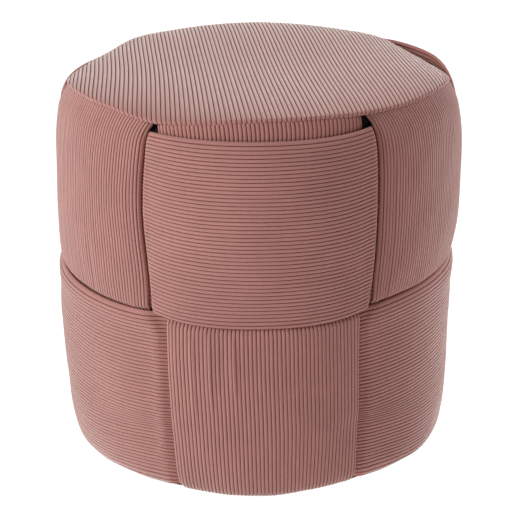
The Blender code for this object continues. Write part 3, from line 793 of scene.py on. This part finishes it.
def raise_wales(item, seed):
    """Raises the wales on a sheet and dresses it in corduroy."""
    cloth = bpy.context.scene.pouf_cloth
    tree = bpy.data.node_groups.get("Corduroy wales") or wale_tree()
    return run_tree(item, tree, {
        "Ridge height": cloth.ridge_height,
        "Ridge roundness": cloth.ridge_roundness,
        "Unevenness": cloth.unevenness,
        "Seed": seed,
        "Pile": corduroy_pile("Corduroy pile", cloth.sheen),
        # A copy of the pile without sheen: flattened pile, and painted shade between the layers.
        "Pressed and shaded pile": corduroy_pile("Pressed corduroy pile", 0.0),
        # The ground, dark partly with painted shade of the grooves.
        "Ground with shade": corduroy_ground_with_shade("Corduroy ground"),
    })


# ---- cloths ---------------------------------------------------------------------------
def made_once(make):
    """Makes a material of a name the first time, and finds it after that."""
    def find_or_make(name, *values):
        """The material of this name."""
        return bpy.data.materials.get(name) or make(name, *values)
    return find_or_make


def shader_of(name):
    """A new material, its wiring helper, its Principled shader and the Object coordinates."""
    material = bpy.data.materials.new(name)
    material.use_nodes = True
    wires = Wiring(material.node_tree)
    place = wires.node("ShaderNodeTexCoord").outputs["Object"]
    return material, wires, material.node_tree.nodes["Principled BSDF"], place


def set_sockets(shader, values):
    """Sets a shader's own sockets by name."""
    for name, value in values.items():
        shader.inputs[name].default_value = value


def opaque(colour, share=1.0):
    """A colour, or a share of it, as a socket takes it."""
    return (*[channel * share for channel in colour], 1.0)


def mixed_colour(wires, factor, first, second, blend="MIX"):
    """The colour output of a mix node."""
    return wires.node("ShaderNodeMix", {0: factor, 6: first, 7: second},
                      data_type="RGBA", blend_type=blend).outputs[2]


def noise(wires, vector, scale, detail=2.0):
    """The value output of a noise texture."""
    feeds = {"Vector": vector, "Scale": scale, "Detail": detail}
    return wires.node("ShaderNodeTexNoise", feeds).outputs[0]


def mapped_range(wires, value, low=0.3, high=0.7, to_low=0.0, to_high=1.0):
    """A value carried from one range to another, and clamped: by default, that of a noise."""
    feeds = dict(enumerate((value, low, high, to_low, to_high)))
    return wires.node("ShaderNodeMapRange", feeds).outputs[0]


def put_bump(wires, shader, height, strength, distance):
    """Gives a shader a fine bump."""
    feeds = {"Strength": strength, "Distance": distance, "Height": height}
    wires.feed(shader.inputs["Normal"], wires.node("ShaderNodeBump", feeds).outputs[0])


@made_once
def corduroy_ground_with_shade(name):
    """The woven ground between the wales, dark partly in its own colour and partly with painted
    shade of the deep grooves.
    """
    cloth = bpy.context.scene.pouf_cloth
    material, wires, shader, place = shader_of(name)
    weave = mapped_range(wires, noise(wires, place, scale=900.0))
    colour = mixed_colour(wires, weave, opaque(cloth.groove_and_shade_colour, 0.7),
                          opaque(cloth.groove_and_shade_colour))
    wires.feed(shader.inputs["Base Color"], colour)
    set_sockets(shader, {"Roughness": 1.0, "Specular IOR Level": 0.05})
    return material


@made_once
def corduroy_pile(name, sheen):
    """Dusty pink corduroy: pale pile on the wales, darkened down their sides by painted shade."""
    cloth = bpy.context.scene.pouf_cloth
    material, wires, shader, place = shader_of(name)
    ridge = wires.node("ShaderNodeAttribute", attribute_name="ridge").outputs["Fac"]
    # Painted shade: down each wale's sides the pile darkens towards the groove colour, by the
    # ridge's height.
    pile = mapped_range(wires, ridge, low=0.40, high=0.95)
    colour = mixed_colour(wires, pile, opaque(cloth.groove_and_shade_colour), opaque(cloth.pile_colour))
    laid = wires.node("ShaderNodeUVMap", uv_map="cloth").outputs[0]
    drawn = wires.node("ShaderNodeMapping", {"Vector": laid, "Scale": (0.9, 0.16, 1.0)})
    streak = mapped_range(wires, noise(wires, drawn.outputs[0], scale=1.0, detail=3.0),
                          to_low=0.94, to_high=1.05)
    blotch = mapped_range(wires, noise(wires, place, scale=14.0, detail=3.0),
                          to_low=0.95, to_high=1.05)
    fibre = mapped_range(wires, noise(wires, place, scale=1500.0),
                         low=0.25, high=0.75, to_low=0.82, to_high=1.18)
    shade = wires.math("MULTIPLY", wires.math("MULTIPLY", streak, blotch), fibre)
    grey = wires.node("ShaderNodeCombineColor", {0: shade, 1: shade, 2: shade}).outputs[0]
    wires.feed(shader.inputs["Base Color"], mixed_colour(wires, 1.0, colour, grey, "MULTIPLY"))
    put_bump(wires, shader, noise(wires, place, scale=1100.0, detail=3.0),
             strength=0.55, distance=0.0005)
    set_sockets(shader, {
        "Roughness": 0.95, "Specular IOR Level": 0.12, "Sheen Weight": sheen,
        "Sheen Roughness": 0.42, "Sheen Tint": opaque(cloth.sheen_colour),
    })
    return material


@made_once
def sewing_thread(name):
    """Matt thread dyed to match the corduroy."""
    material, wires, shader, place = shader_of(name)
    twist = mapped_range(wires, noise(wires, place, scale=900.0))
    dark, pale = (0.10, 0.040, 0.034), (0.20, 0.090, 0.076)
    wires.feed(shader.inputs["Base Color"],
               mixed_colour(wires, twist, opaque(dark), opaque(pale)))
    set_sockets(shader, {"Roughness": 0.8, "Specular IOR Level": 0.2})
    return material


@made_once
def black_cloth(name):
    """Thin black lining cloth, plainly woven."""
    cloth = bpy.context.scene.pouf_cloth
    material, wires, shader, place = shader_of(name)
    dust = mapped_range(wires, noise(wires, place, scale=30.0, detail=4.0),
                        low=0.35, high=0.75, to_high=0.5)
    colour = mixed_colour(wires, dust, opaque(cloth.black_colour),
                          opaque(cloth.black_colour, 2.2))
    wires.feed(shader.inputs["Base Color"], colour)
    weave = wires.node("ShaderNodeTexChecker", {"Vector": place, "Scale": 1400.0})
    put_bump(wires, shader, weave.outputs["Fac"], strength=0.4, distance=0.0002)
    set_sockets(shader, {"Roughness": 0.9, "Specular IOR Level": 0.2, "Sheen Weight": 0.1})
    return material


@made_once
def studio_paper(name):
    """Plain white studio paper that also gives light of its own."""
    stage = bpy.context.scene.pouf_stage
    material, wires, shader, place = shader_of(name)
    tone = mapped_range(wires, noise(wires, place, scale=2.0), to_low=0.99)
    colour = mixed_colour(wires, tone, opaque(stage.floor_colour, 0.98),
                          opaque(stage.floor_colour))
    wires.feed(shader.inputs["Base Color"], colour)
    set_sockets(shader, {
        "Roughness": 1.0, "Specular IOR Level": 0.0,
        "Emission Color": (1.0, 1.0, 1.0, 1.0), "Emission Strength": stage.floor_glow,
    })
    return material


# ---- pieces ---------------------------------------------------------------------------
def settle(item, nodes):
    """Hands a finished piece to the frame, in place of these CAD nodes."""
    if not item.data.polygons:
        raise RuntimeError(f"{item.name} has no faces")
    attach(item, "root")
    if nodes:
        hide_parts(*nodes)
    return item


def wales_in(width):
    """How many wales fit a width of cloth."""
    return round(width / bpy.context.scene.pouf_cloth.wale_pitch)


def crease_depth(strap, from_left, width, height):
    """Depth of the creases and raised streaks that run along a strap."""
    depth = np.zeros(np.broadcast(from_left, height).shape)
    for number, place, half, deep, low, high in CREASES:
        if number != strap:
            continue
        away = (from_left if place > 0 else width - from_left) - abs(place)
        fade = soft_ramp((height - low) / CREASE_FADE) * soft_ramp((high - height) / CREASE_FADE)
        depth = depth + deep * np.exp(-(away / half) ** 2) * fade
    return depth


def strap_runs():
    """Runs of a strap's rows: close together at the seam, the waist and the foot."""
    foot_end = run_at_underside(FOOT_END)
    foot = np.arange(run_at_height(FOOT_TOP) + FOOT_START, foot_end, FOOT_STEP)
    turned = np.linspace(foot_end, run_at_underside(STRAP_END_RADIUS), TURNED_ROWS)
    return np.concatenate([run_at_height(graded(*STRAP_ROWS)), foot, turned])


def make_strap(strap):
    """One strap: sewn in at the top seam, woven down the side and turned under the foot."""
    cloth = bpy.context.scene.pouf_cloth
    count = wales_in(STRAP_CUT[0])
    wale, share = wale_places(count, STRAP_EDGE)
    across, side = both_faces(bunched(share, STRAP_BUNCH[strap]), STRAP_LINING)
    runs = strap_runs()[:, None]
    left, right = strap_edges(strap, runs)
    azimuth = (left + right) / 2.0 + across * (right - left) / 2.0
    width = np.radians(right - left) * radius_at(runs)
    from_edge = (1.0 - np.abs(across)) * width / 2.0
    height = height_at(runs)
    level = strap_level(strap, azimuth, runs)
    offset = sheet_offset(level * soft_ramp(runs / run_at_height(SEAM_EASE)),
                          crossing_crown(azimuth, runs), from_edge, side,
                          loose=soft_ramp((height - WAIST) / LOOSE_GROWTH))
    turn = 1.0 - np.sqrt(1.0 - np.clip(1.0 - runs / SEAM_ROLL, 0.0, 1.0) ** 2)
    offset = offset - SEAM_DEPTH * turn * (side > 0)
    folds = crease_depth(strap, (across + 1.0) * width / 2.0, width, height)
    inside = soft_ramp(from_edge / TAUT_EDGE) * soft_ramp(runs / TAUT_SEAM)
    offset = offset - folds * (side > 0) + slack(azimuth, runs, strap) * inside * (side > 0)
    item = sheet_object(f"corduroy_strap_{strap + 1}", on_the_side(azimuth, runs, offset),
                        wale, count, runs[:, 0] / cloth.wale_pitch,
                        pressed_and_shaded_pile(level, from_edge))
    return raise_wales(item, seed=11 + 7 * strap)


def band_places(over_even, run):
    """Azimuths of a band's columns at a run: close together where the band dives."""
    dives = [dive_azimuth(strap, run, over_even) for strap in range(STRAPS)]
    offsets = np.array(DIVE_OFFSETS)
    columns = []
    for strap in range(STRAPS):
        here = dives[strap]
        there = dives[(strap + 1) % STRAPS] + (360.0 if strap == STRAPS - 1 else 0.0)
        stretch = (there - here) / CELL
        columns += [here + offset * stretch for offset in offsets]
        columns += [there - offset * stretch for offset in offsets[-2:0:-1]]
    return columns


def make_band(name, bottom_run, top_table, over_even, cut, bunch=0.0, rim_flare=0.0):
    """One closed band, woven over every other strap."""
    cloth = bpy.context.scene.pouf_cloth
    count = wales_in(cut[1])
    wale, share = wale_places(count, BAND_EDGE)
    hem, from_top = hem_places(count, BAND_EDGE)
    hem_share = 1.0 - from_top * 2.0 / count
    across, side = both_faces(bunched(share, bunch), np.concatenate([hem_share, BAND_LINING]))
    run = run_at_height(UPPER_MIDDLE if over_even else LOWER_MIDDLE)
    azimuth = np.array(band_places(over_even, run))[:, None]
    top = run_at_height(band_edge(azimuth, top_table, over_even)).mean()
    bottom = bottom_run(azimuth).mean()
    run = (bottom + top) / 2.0 - across[0] * (bottom - top) / 2.0
    azimuth = np.array(band_places(over_even, run))
    bottom = bottom_run(azimuth)
    top = run_at_height(band_edge(azimuth, top_table, over_even))
    run = (bottom + top) / 2.0 - across * (bottom - top) / 2.0
    from_edge = (1.0 - np.abs(across)) * (bottom - top) / 2.0
    level, dip = band_level(azimuth, run, over_even)
    flare = rim_flare * np.exp(-((height_at(run) - RIM_HEIGHT) / RIM_SPREAD) ** 2)
    offset = sheet_offset(level, crossing_crown(azimuth, run), from_edge, side, flare)
    offset = offset - dip * np.where(side > 0, 1.0, SLOT_INSIDE)
    inside = soft_ramp(from_edge / TAUT_EDGE) * np.clip(level, 0.0, 1.0)
    offset = offset + slack(azimuth, run, STRAPS + 1 + over_even) * inside * (side > 0)
    drawn = 0.0 if over_even else LOWER_DRAW * (1.0 - level) / 2.0
    points = on_the_side(azimuth, run + drawn, offset, follow_seam=(1.0 - level) / 2.0)
    length = 2.0 * math.pi * BAND_GIRTH_RADIUS / cloth.wale_pitch
    item = sheet_object(name, points, wale, count,
                        np.arange(len(azimuth)) / len(azimuth) * length,
                        np.where(side > 0, pressed_and_shaded_pile(level, from_edge), 1.0),
                        wrap=length, hem=hem)
    return raise_wales(item, seed=101 + 30 * over_even)


def rim_height(azimuth):
    """Height of the top's rim, over the uneven seam."""
    return round_value(azimuth, SEAM_HEIGHTS) + SEAM_GAP + TOP_TUCK_HEIGHT


def crown_sag(radius):
    """How far the top has sunk below its crown at a radius."""
    return CROWN_SAG * (1.0 - np.minimum(radius / TOP_RADIUS, 1.0) ** 2) ** 2


def crown_rise(share):
    """The crown's share of its rise over the rim, at a share of the top's radius."""
    return (1.0 - share ** CROWN_SQUARE) ** CROWN_ROUND


def crown_profile():
    """The top panel's section: arc length, radius and share of the rise, out to the tuck."""
    share = 1.0 - np.linspace(1.0, 0.0, CROWN_ROWS) ** 2
    rise = crown_rise(share)
    turn = np.linspace(0.0, math.pi / 2.0, TUCK_ROWS)[1:]
    radius = np.concatenate([TOP_RADIUS * share,
                             TOP_RADIUS - TOP_TUCK * (1.0 - np.cos(turn))])
    rise = np.concatenate([rise, np.zeros(len(turn))])
    tuck = np.concatenate([np.zeros(len(share)), np.sin(turn)])
    mean_rim = sum(SEAM_HEIGHTS) / len(SEAM_HEIGHTS) + SEAM_GAP + TOP_TUCK_HEIGHT
    height = mean_rim + (CROWN_HEIGHT - mean_rim) * rise - TOP_TUCK_HEIGHT * tuck
    height = height - crown_sag(radius)
    arc = np.concatenate([[0.0], np.cumsum(np.hypot(np.diff(radius), np.diff(height)))])
    return arc, radius, rise, tuck


def on_the_crown(x, y, profile, depth):
    """Points of the top panel over a place on its flat cut, at a depth below its face."""
    arc, radii, rises, tucks = profile
    reach = np.minimum(np.hypot(x, y), arc[-1])
    azimuth = np.degrees(np.arctan2(x, -y))
    rim = rim_height(azimuth)
    radius, rise, tuck = [np.interp(reach, arc, values) for values in (radii, rises, tucks)]
    slope_r, slope_rise, slope_tuck = [np.interp(reach, arc, np.gradient(values, arc))
                                       for values in (radii, rises, tucks)]
    slope_z = (CROWN_HEIGHT - rim) * slope_rise - TOP_TUCK_HEIGHT * slope_tuck
    length = np.hypot(slope_r, slope_z)
    radius = radius + depth * slope_z / length
    height = (rim + (CROWN_HEIGHT - rim) * rise - TOP_TUCK_HEIGHT * tuck
              - crown_sag(radius) - depth * slope_r / length)
    return on_the_round(azimuth, radius, height)


def make_top():
    """The round top, its wales straight across it, rolled down to the seam."""
    cloth = bpy.context.scene.pouf_cloth
    profile = crown_profile()
    reach = profile[0][-1]
    wale, share = wale_places(wales_in(TOP_CUT), 1.0)
    aside = (share * TOP_OUTERMOST * reach)[:, None]
    half = np.sqrt(np.maximum(reach ** 2 - aside ** 2, 0.0))
    grain = math.radians(TOP_GRAIN)
    steps = 1.0 - np.linspace(1.0, 0.0, TOP_STEPS)[1:] ** TOP_CROWDING
    steps = np.concatenate([-steps[::-1], [0.0], steps])

    def cut_place(shares):
        """Places on the flat cut, at these shares of each line's half length."""
        along = half * np.asarray(shares)[None, :]
        x = aside * math.cos(grain) + along * math.sin(grain)
        y = aside * math.sin(grain) - along * math.cos(grain)
        return x * (1.0 + TOP_FAN * np.maximum(-y, 0.0) ** 2), y

    outer = on_the_crown(*cut_place(steps), profile, 0.0)
    x, y = cut_place(TOP_LINING)
    inner = on_the_crown(x * TOP_INSIDE, y * TOP_INSIDE, profile, sheet_thickness())
    points = np.concatenate([outer, inner], axis=1)
    rings, size = points.shape[:2]
    item = mesh_of("corduroy_top", points.reshape(-1, 3),
                   *lofted_faces(rings, len(steps), size))
    item.data.flip_normals()
    wales = np.broadcast_to(wale[:, None], (rings, size))
    relief = np.concatenate([np.ones(outer.shape[:2]), np.zeros(inner.shape[:2])], axis=1)
    along = np.concatenate([steps, TOP_LINING])[None, :] * half / cloth.wale_pitch
    put_attribute(item.data, "wale", wales)
    put_attribute(item.data, "relief", relief)
    put_cloth_uv(item.data, wales.reshape(-1), along.reshape(-1))
    return raise_wales(item, seed=211)


def seam_line():
    """Points round the top seam, in the groove between the top and the straps."""
    azimuth = np.arange(0.0, 360.0, SEAM_STEP)
    height = round_value(azimuth, SEAM_HEIGHTS) + SEAM_GAP / 2.0
    return on_the_round(azimuth, np.full(len(azimuth), TOP_RADIUS - STITCH_INSET), height)


def make_stitches():
    """The stitches of the top seam, one to a wale."""
    cloth = bpy.context.scene.pouf_cloth
    curve = bpy.data.curves.new("seam_stitches", "CURVE")
    curve.dimensions = "3D"
    line = seam_line()
    spline = curve.splines.new("POLY")
    spline.points.add(len(line) - 1)
    spline.points.foreach_set("co", np.column_stack([line, np.ones(len(line))]).ravel())
    spline.use_cyclic_u = True
    return run_tree(linked("seam_stitches", curve), stitch_tree(), {
        "Pitch": cloth.wale_pitch,
        "Stitch length": STITCH_LENGTH * cloth.wale_pitch,
        "Thread radius": THREAD_RADIUS,
        "Thread": sewing_thread("Sewing thread"),
    })


def black_piece(name, rings, lowest, highest):
    """A piece of black cloth over rings of points, with a pole below and one above."""
    count, size = rings.shape[:2]
    points = np.vstack([rings.reshape(-1, 3), [lowest, highest]])
    item = mesh_of(name, points, *turned_faces(count, size))
    item.data.materials.append(black_cloth("Black lining cloth"))
    return item


def make_core():
    """The stuffed drum inside the weave, in black lining cloth."""
    azimuth = np.arange(0.0, 360.0, CORE_STEP)[None, :]
    underside = [on_the_round(azimuth, radius, height) for radius, height in CORE_UNDERSIDE]
    corner_rows, wall_rows, crown_rows = CORE_ROWS
    upright = run_at_height(CORE_CORNER)
    corner = np.linspace(run_at_underside(CORE_UNDER), upright, corner_rows)
    side = np.linspace(upright, run_at_height(CORE_TOP), wall_rows)[1:]
    runs = np.concatenate([corner, side])[:, None]
    lumps = np.sin(np.radians(azimuth * CORE_LUMPS)) * np.sin(runs * CORE_LUMPS_DOWN)
    wall = on_the_side(azimuth, runs, -CORE_INSET + CORE_LUMP * (lumps - 1.0))
    rim = rim_height(azimuth)
    shares = np.linspace(*CORE_CROWN, crown_rows)[:, None]
    under = sheet_thickness() + CORE_GAP
    reach = (TOP_RADIUS - sheet_thickness()) * shares
    height = rim + (CROWN_HEIGHT - rim) * crown_rise(shares) - under - crown_sag(reach)
    top = on_the_round(azimuth, reach, height)
    return black_piece("stuffed_core", np.concatenate([np.concatenate(underside), wall, top]),
                       on_the_round(0.0, 0.0, CORE_UNDERSIDE[0][1]),
                       on_the_round(0.0, 0.0, CROWN_HEIGHT - under - CROWN_SAG))


def make_base_cloth():
    """The thin black cloth under the pouf, gathered a little at its rim."""
    azimuth = np.arange(0.0, 360.0, BASE_STEP)[None, :]
    wave = np.sin(np.radians(azimuth * BASE_CRIMPS + BASE_CRIMP_FROM))
    crimp = BASE_CRIMP * np.maximum(0.0, wave) ** 3
    fine, coarse = [np.sin(np.radians(azimuth * waves)) for waves in BASE_RIPPLES]
    reach = BASE_RADIUS + crimp + BASE_RIPPLE * fine * coarse
    section = [(share, 0.0) for share in BASE_RINGS]
    section += [(1.0, BASE_HEM), (1.0, BASE_THICKNESS - BASE_HEM)]
    section += [(share, BASE_THICKNESS) for share in BASE_RINGS[::-1]]
    rings = [on_the_round(azimuth, reach * share, height) for share, height in section]
    return black_piece("black_base_cloth", np.concatenate(rings),
                       on_the_round(0.0, 0.0, 0.0), on_the_round(0.0, 0.0, BASE_THICKNESS))


# ---- stage ----------------------------------------------------------------------------
KEY_PLACE, FILL_PLACE, TOP_PLACE = (-2.21, -1.03, 1.80), (2.03, 1.41, 1.76), (-0.1, 1.2, 2.30)
KEY_WIDTH, SOFT_WIDTH = 1.3, 1.6   # of the key light, and of the other two
LIT_POINT = (0.0, 0.0, 0.2)        # which all the lights look at
CAMERA_SHIFT = 0.00034   # of the lens sideways, as a share of the frame
FLOOR_HALF, FLOOR_DROP = 20.0, 0.0002   # half its width, and how far it lies below zero


def add_light(name, place, size, power, tint=(1.0, 1.0, 1.0)):
    """A soft square light that looks at the pouf."""
    data = bpy.data.lights.new(name, "AREA")
    data.shape = "SQUARE"
    data.size = size
    data.energy = power
    data.color = tint
    item = linked(name, data)
    item.location = place
    item.rotation_euler = (Vector(LIT_POINT) - Vector(place)).to_track_quat("-Z", "Y").to_euler()


def add_camera():
    """The camera, a little above the pouf in front of it."""
    stage = bpy.context.scene.pouf_stage
    data = bpy.data.cameras.new("Camera")
    data.lens = stage.lens
    data.shift_x = CAMERA_SHIFT
    item = linked("Camera", data)
    look = Euler((math.pi / 2.0 - stage.look_down, 0.0, 0.0)).to_matrix().to_4x4()
    roll = Matrix.Rotation(stage.roll, 4, "Z")
    item.matrix_world = Matrix.Translation(stage.camera_place) @ look @ roll
    bpy.context.scene.camera = item


def set_world():
    """An even pale sky."""
    stage = bpy.context.scene.pouf_stage
    world = bpy.data.worlds.new("Studio")
    world.use_nodes = True
    sky = world.node_tree.nodes["Background"]
    sky.inputs["Color"].default_value = (1.0, 1.0, 1.0, 1.0)
    sky.inputs["Strength"].default_value = stage.sky
    bpy.context.scene.world = world


def make_floor():
    """A wide plain floor."""
    mesh = bpy.data.meshes.new("studio_floor")
    corners = [(x * FLOOR_HALF, y * FLOOR_HALF, 0.0)
               for x, y in ((-1, -1), (1, -1), (1, 1), (-1, 1))]
    mesh.from_pydata(corners, [], [(0, 1, 2, 3)])
    mesh.materials.append(studio_paper("Studio paper"))
    item = linked("studio_floor", mesh)
    item.location.z = -FLOOR_DROP


# ---- settings -------------------------------------------------------------------------
class PoufCloth(bpy.types.PropertyGroup):
    """Sizes and colours of the pouf's cloths."""

    thickness: FloatProperty(
        name="Thickness", description="Thickness of the backed corduroy",
        default=0.003, min=0.001, max=0.006, subtype="DISTANCE", unit="LENGTH")
    wale_pitch: FloatProperty(
        name="Wale pitch", description="Distance from one wale to the next",
        default=0.0042, min=0.002, max=0.010, subtype="DISTANCE", unit="LENGTH")
    ridge_height: FloatProperty(
        name="Ridge height", description="Height of a wale over its groove",
        default=0.0015, min=0.0, max=0.003, subtype="DISTANCE", unit="LENGTH")
    ridge_roundness: FloatProperty(
        name="Ridge roundness", description="Higher makes a wale broader and its groove narrower",
        default=4.0, min=1.5, max=8.0)
    unevenness: FloatProperty(
        name="Unevenness", description="How much the wales differ in height",
        default=0.12, min=0.0, max=1.0, subtype="FACTOR")
    slack: FloatProperty(
        name="Slack", description="Height of the soft swells in the hand-stretched cloth",
        default=0.0003, min=0.0, max=0.002, subtype="DISTANCE", unit="LENGTH")
    pile_colour: FloatVectorProperty(
        name="Pile", description="Colour of the pile on the wales",
        default=(0.393, 0.171, 0.150), min=0.0, max=1.0, subtype="COLOR")
    # Colour of the ground, which also paints the shade in the grooves and down the wales' sides.
    groove_and_shade_colour: FloatVectorProperty(
        name="Grooves", description="Colour of the ground between the wales",
        default=(0.212, 0.061, 0.046), min=0.0, max=1.0, subtype="COLOR")
    sheen: FloatProperty(
        name="Sheen", description="How much light the pile catches at a grazing angle",
        default=0.8, min=0.0, max=1.0, subtype="FACTOR")
    sheen_colour: FloatVectorProperty(
        name="Sheen tint", description="Colour of the light on the pile's tips",
        default=(1.0, 0.93, 0.90), min=0.0, max=1.0, subtype="COLOR")
    black_colour: FloatVectorProperty(
        name="Lining", description="Colour of the black lining cloth",
        default=(0.010, 0.0095, 0.010), min=0.0, max=1.0, subtype="COLOR")


class PoufStage(bpy.types.PropertyGroup):
    """The studio round the pouf."""

    key: FloatProperty(
        name="Key light", description="Power of the main light, on the upper left",
        default=86.0, min=0.0, max=500.0, unit="POWER")
    fill: FloatProperty(
        name="Fill light", description="Power of the soft light on the right, behind the pouf",
        default=60.0, min=0.0, max=500.0, unit="POWER")
    top: FloatProperty(
        name="Top light", description="Power of the faint soft light overhead",
        default=1.0, min=0.0, max=500.0, unit="POWER")
    key_tint: FloatVectorProperty(
        name="Key tint", description="Colour of the key light",
        default=(0.88, 1.0, 1.0), min=0.0, max=1.0, subtype="COLOR")
    top_tint: FloatVectorProperty(
        name="Top tint", description="Colour of the top light",
        default=(0.80, 1.0, 1.0), min=0.0, max=1.0, subtype="COLOR")
    sky: FloatProperty(
        name="Sky", description="Strength of the even light from all round",
        default=0.24, min=0.0, max=3.0)
    floor_colour: FloatVectorProperty(
        name="Floor", description="Colour of the studio paper",
        default=(0.15, 0.15, 0.15), min=0.0, max=1.0, subtype="COLOR")
    floor_glow: FloatProperty(
        name="Floor glow", description="Strength of the studio paper's own white light",
        default=1.03, min=0.0, max=3.0)
    lens: FloatProperty(
        name="Lens", description="Focal length of the camera in millimetres",
        default=106.25, min=20.0, max=300.0)
    look_down: FloatProperty(
        name="Look down", description="Angle by which the camera looks down",
        default=0.38986, min=0.0, max=1.5, subtype="ANGLE", unit="ROTATION")
    roll: FloatProperty(
        name="Roll", description="Turn of the camera about its line of sight",
        default=-0.01064, min=-0.5, max=0.5, subtype="ANGLE", unit="ROTATION")
    camera_place: FloatVectorProperty(
        name="Camera", description="Where the camera stands",
        default=(0.0020, -1.5, 0.7952), subtype="TRANSLATION", unit="LENGTH")


# ---- operators ------------------------------------------------------------------------
class POUF_OT_straps(bpy.types.Operator):
    """Makes the six straps that run down the side."""

    bl_idname = "pouf.straps"
    bl_label = "Straps"

    def execute(self, context):
        """Makes and places each strap."""
        for strap in range(STRAPS):
            item = settle(make_strap(strap), [f"strap_{strap + 1}"])
        return {"FINISHED"}


class POUF_OT_bands(bpy.types.Operator):
    """Makes the two closed bands woven through the straps."""

    bl_idname = "pouf.bands"
    bl_label = "Bands"

    def execute(self, context):
        upper = make_band(
            "corduroy_band_upper",
            lambda azimuth: run_at_height(band_edge(azimuth, UPPER_BOTTOM, True)),
            UPPER_TOP, True, UPPER_CUT, bunch=UPPER_BUNCH)
        lower = make_band(
            "corduroy_band_lower",
            lambda azimuth: np.full(np.shape(azimuth), run_at_underside(BAND_END_RADIUS)),
            LOWER_TOP, False, LOWER_CUT, rim_flare=RIM_FLARE)
        for item, node, cut in ((upper, "band_upper", UPPER_CUT),
                                (lower, "band_lower", LOWER_CUT)):
            settle(item, [node])
        return {"FINISHED"}


class POUF_OT_top(bpy.types.Operator):
    """Makes the round top panel."""

    bl_idname = "pouf.top"
    bl_label = "Top"

    def execute(self, context):
        item = settle(make_top(), ["top_panel"])
        return {"FINISHED"}


class POUF_OT_stitches(bpy.types.Operator):
    """Makes the stitches of the top seam."""

    bl_idname = "pouf.stitches"
    bl_label = "Seam stitches"

    def execute(self, context):
        """Makes and places the stitches."""
        settle(make_stitches(), [])
        return {"FINISHED"}


class POUF_OT_core(bpy.types.Operator):
    """Makes the stuffed black drum inside the weave."""

    bl_idname = "pouf.core"
    bl_label = "Stuffed core"

    def execute(self, context):
        settle(make_core(), ["core"])
        return {"FINISHED"}


class POUF_OT_base(bpy.types.Operator):
    """Makes the black cloth under the pouf."""

    bl_idname = "pouf.base"
    bl_label = "Base cloth"

    def execute(self, context):
        item = settle(make_base_cloth(), ["base_cloth"])
        return {"FINISHED"}


class POUF_OT_stage(bpy.types.Operator):
    """Makes the floor, the lights and the camera."""

    bl_idname = "pouf.stage"
    bl_label = "Stage"

    def execute(self, context):
        """Sets up the studio."""
        stage = context.scene.pouf_stage
        make_floor()
        set_world()
        add_light("Key light", KEY_PLACE, KEY_WIDTH, stage.key, stage.key_tint)
        add_light("Fill light", FILL_PLACE, SOFT_WIDTH, stage.fill)
        add_light("Top light", TOP_PLACE, SOFT_WIDTH, stage.top, stage.top_tint)
        add_camera()
        context.scene.view_settings.view_transform = "Standard"
        return {"FINISHED"}


class POUF_PT_panel(bpy.types.Panel):
    """Lists the pouf's settings and the operators that make its pieces."""

    bl_idname = "POUF_PT_panel"
    bl_label = "Woven corduroy pouf"
    bl_space_type = "VIEW_3D"
    bl_region_type = "UI"
    bl_category = "Pouf"

    def draw(self, context):
        """Draws the settings and the buttons."""
        for settings in (context.scene.pouf_cloth, context.scene.pouf_stage):
            box = self.layout.box()
            for name in settings.__annotations__:
                box.prop(settings, name)
        for operator in OPERATORS:
            self.layout.operator(operator.bl_idname)


OPERATORS = (
    POUF_OT_core, POUF_OT_base, POUF_OT_straps, POUF_OT_bands, POUF_OT_top,
    POUF_OT_stitches, POUF_OT_stage,
)
CLASSES = (PoufCloth, PoufStage, *OPERATORS, POUF_PT_panel)


def register():
    """Registers the classes and hangs the settings on the scene."""
    for item in CLASSES:
        bpy.utils.register_class(item)
    bpy.types.Scene.pouf_cloth = PointerProperty(type=PoufCloth)
    bpy.types.Scene.pouf_stage = PointerProperty(type=PoufStage)


def unregister():
    """Takes the settings and the classes away again."""
    del bpy.types.Scene.pouf_stage
    del bpy.types.Scene.pouf_cloth
    for item in reversed(CLASSES):
        bpy.utils.unregister_class(item)


def main():
    """Makes every piece and the stage."""
    register()
    bpy.ops.pouf.core()
    bpy.ops.pouf.base()
    bpy.ops.pouf.straps()
    bpy.ops.pouf.bands()
    bpy.ops.pouf.top()
    bpy.ops.pouf.stitches()
    bpy.ops.pouf.stage()


if __name__ == "__main__":
    main()
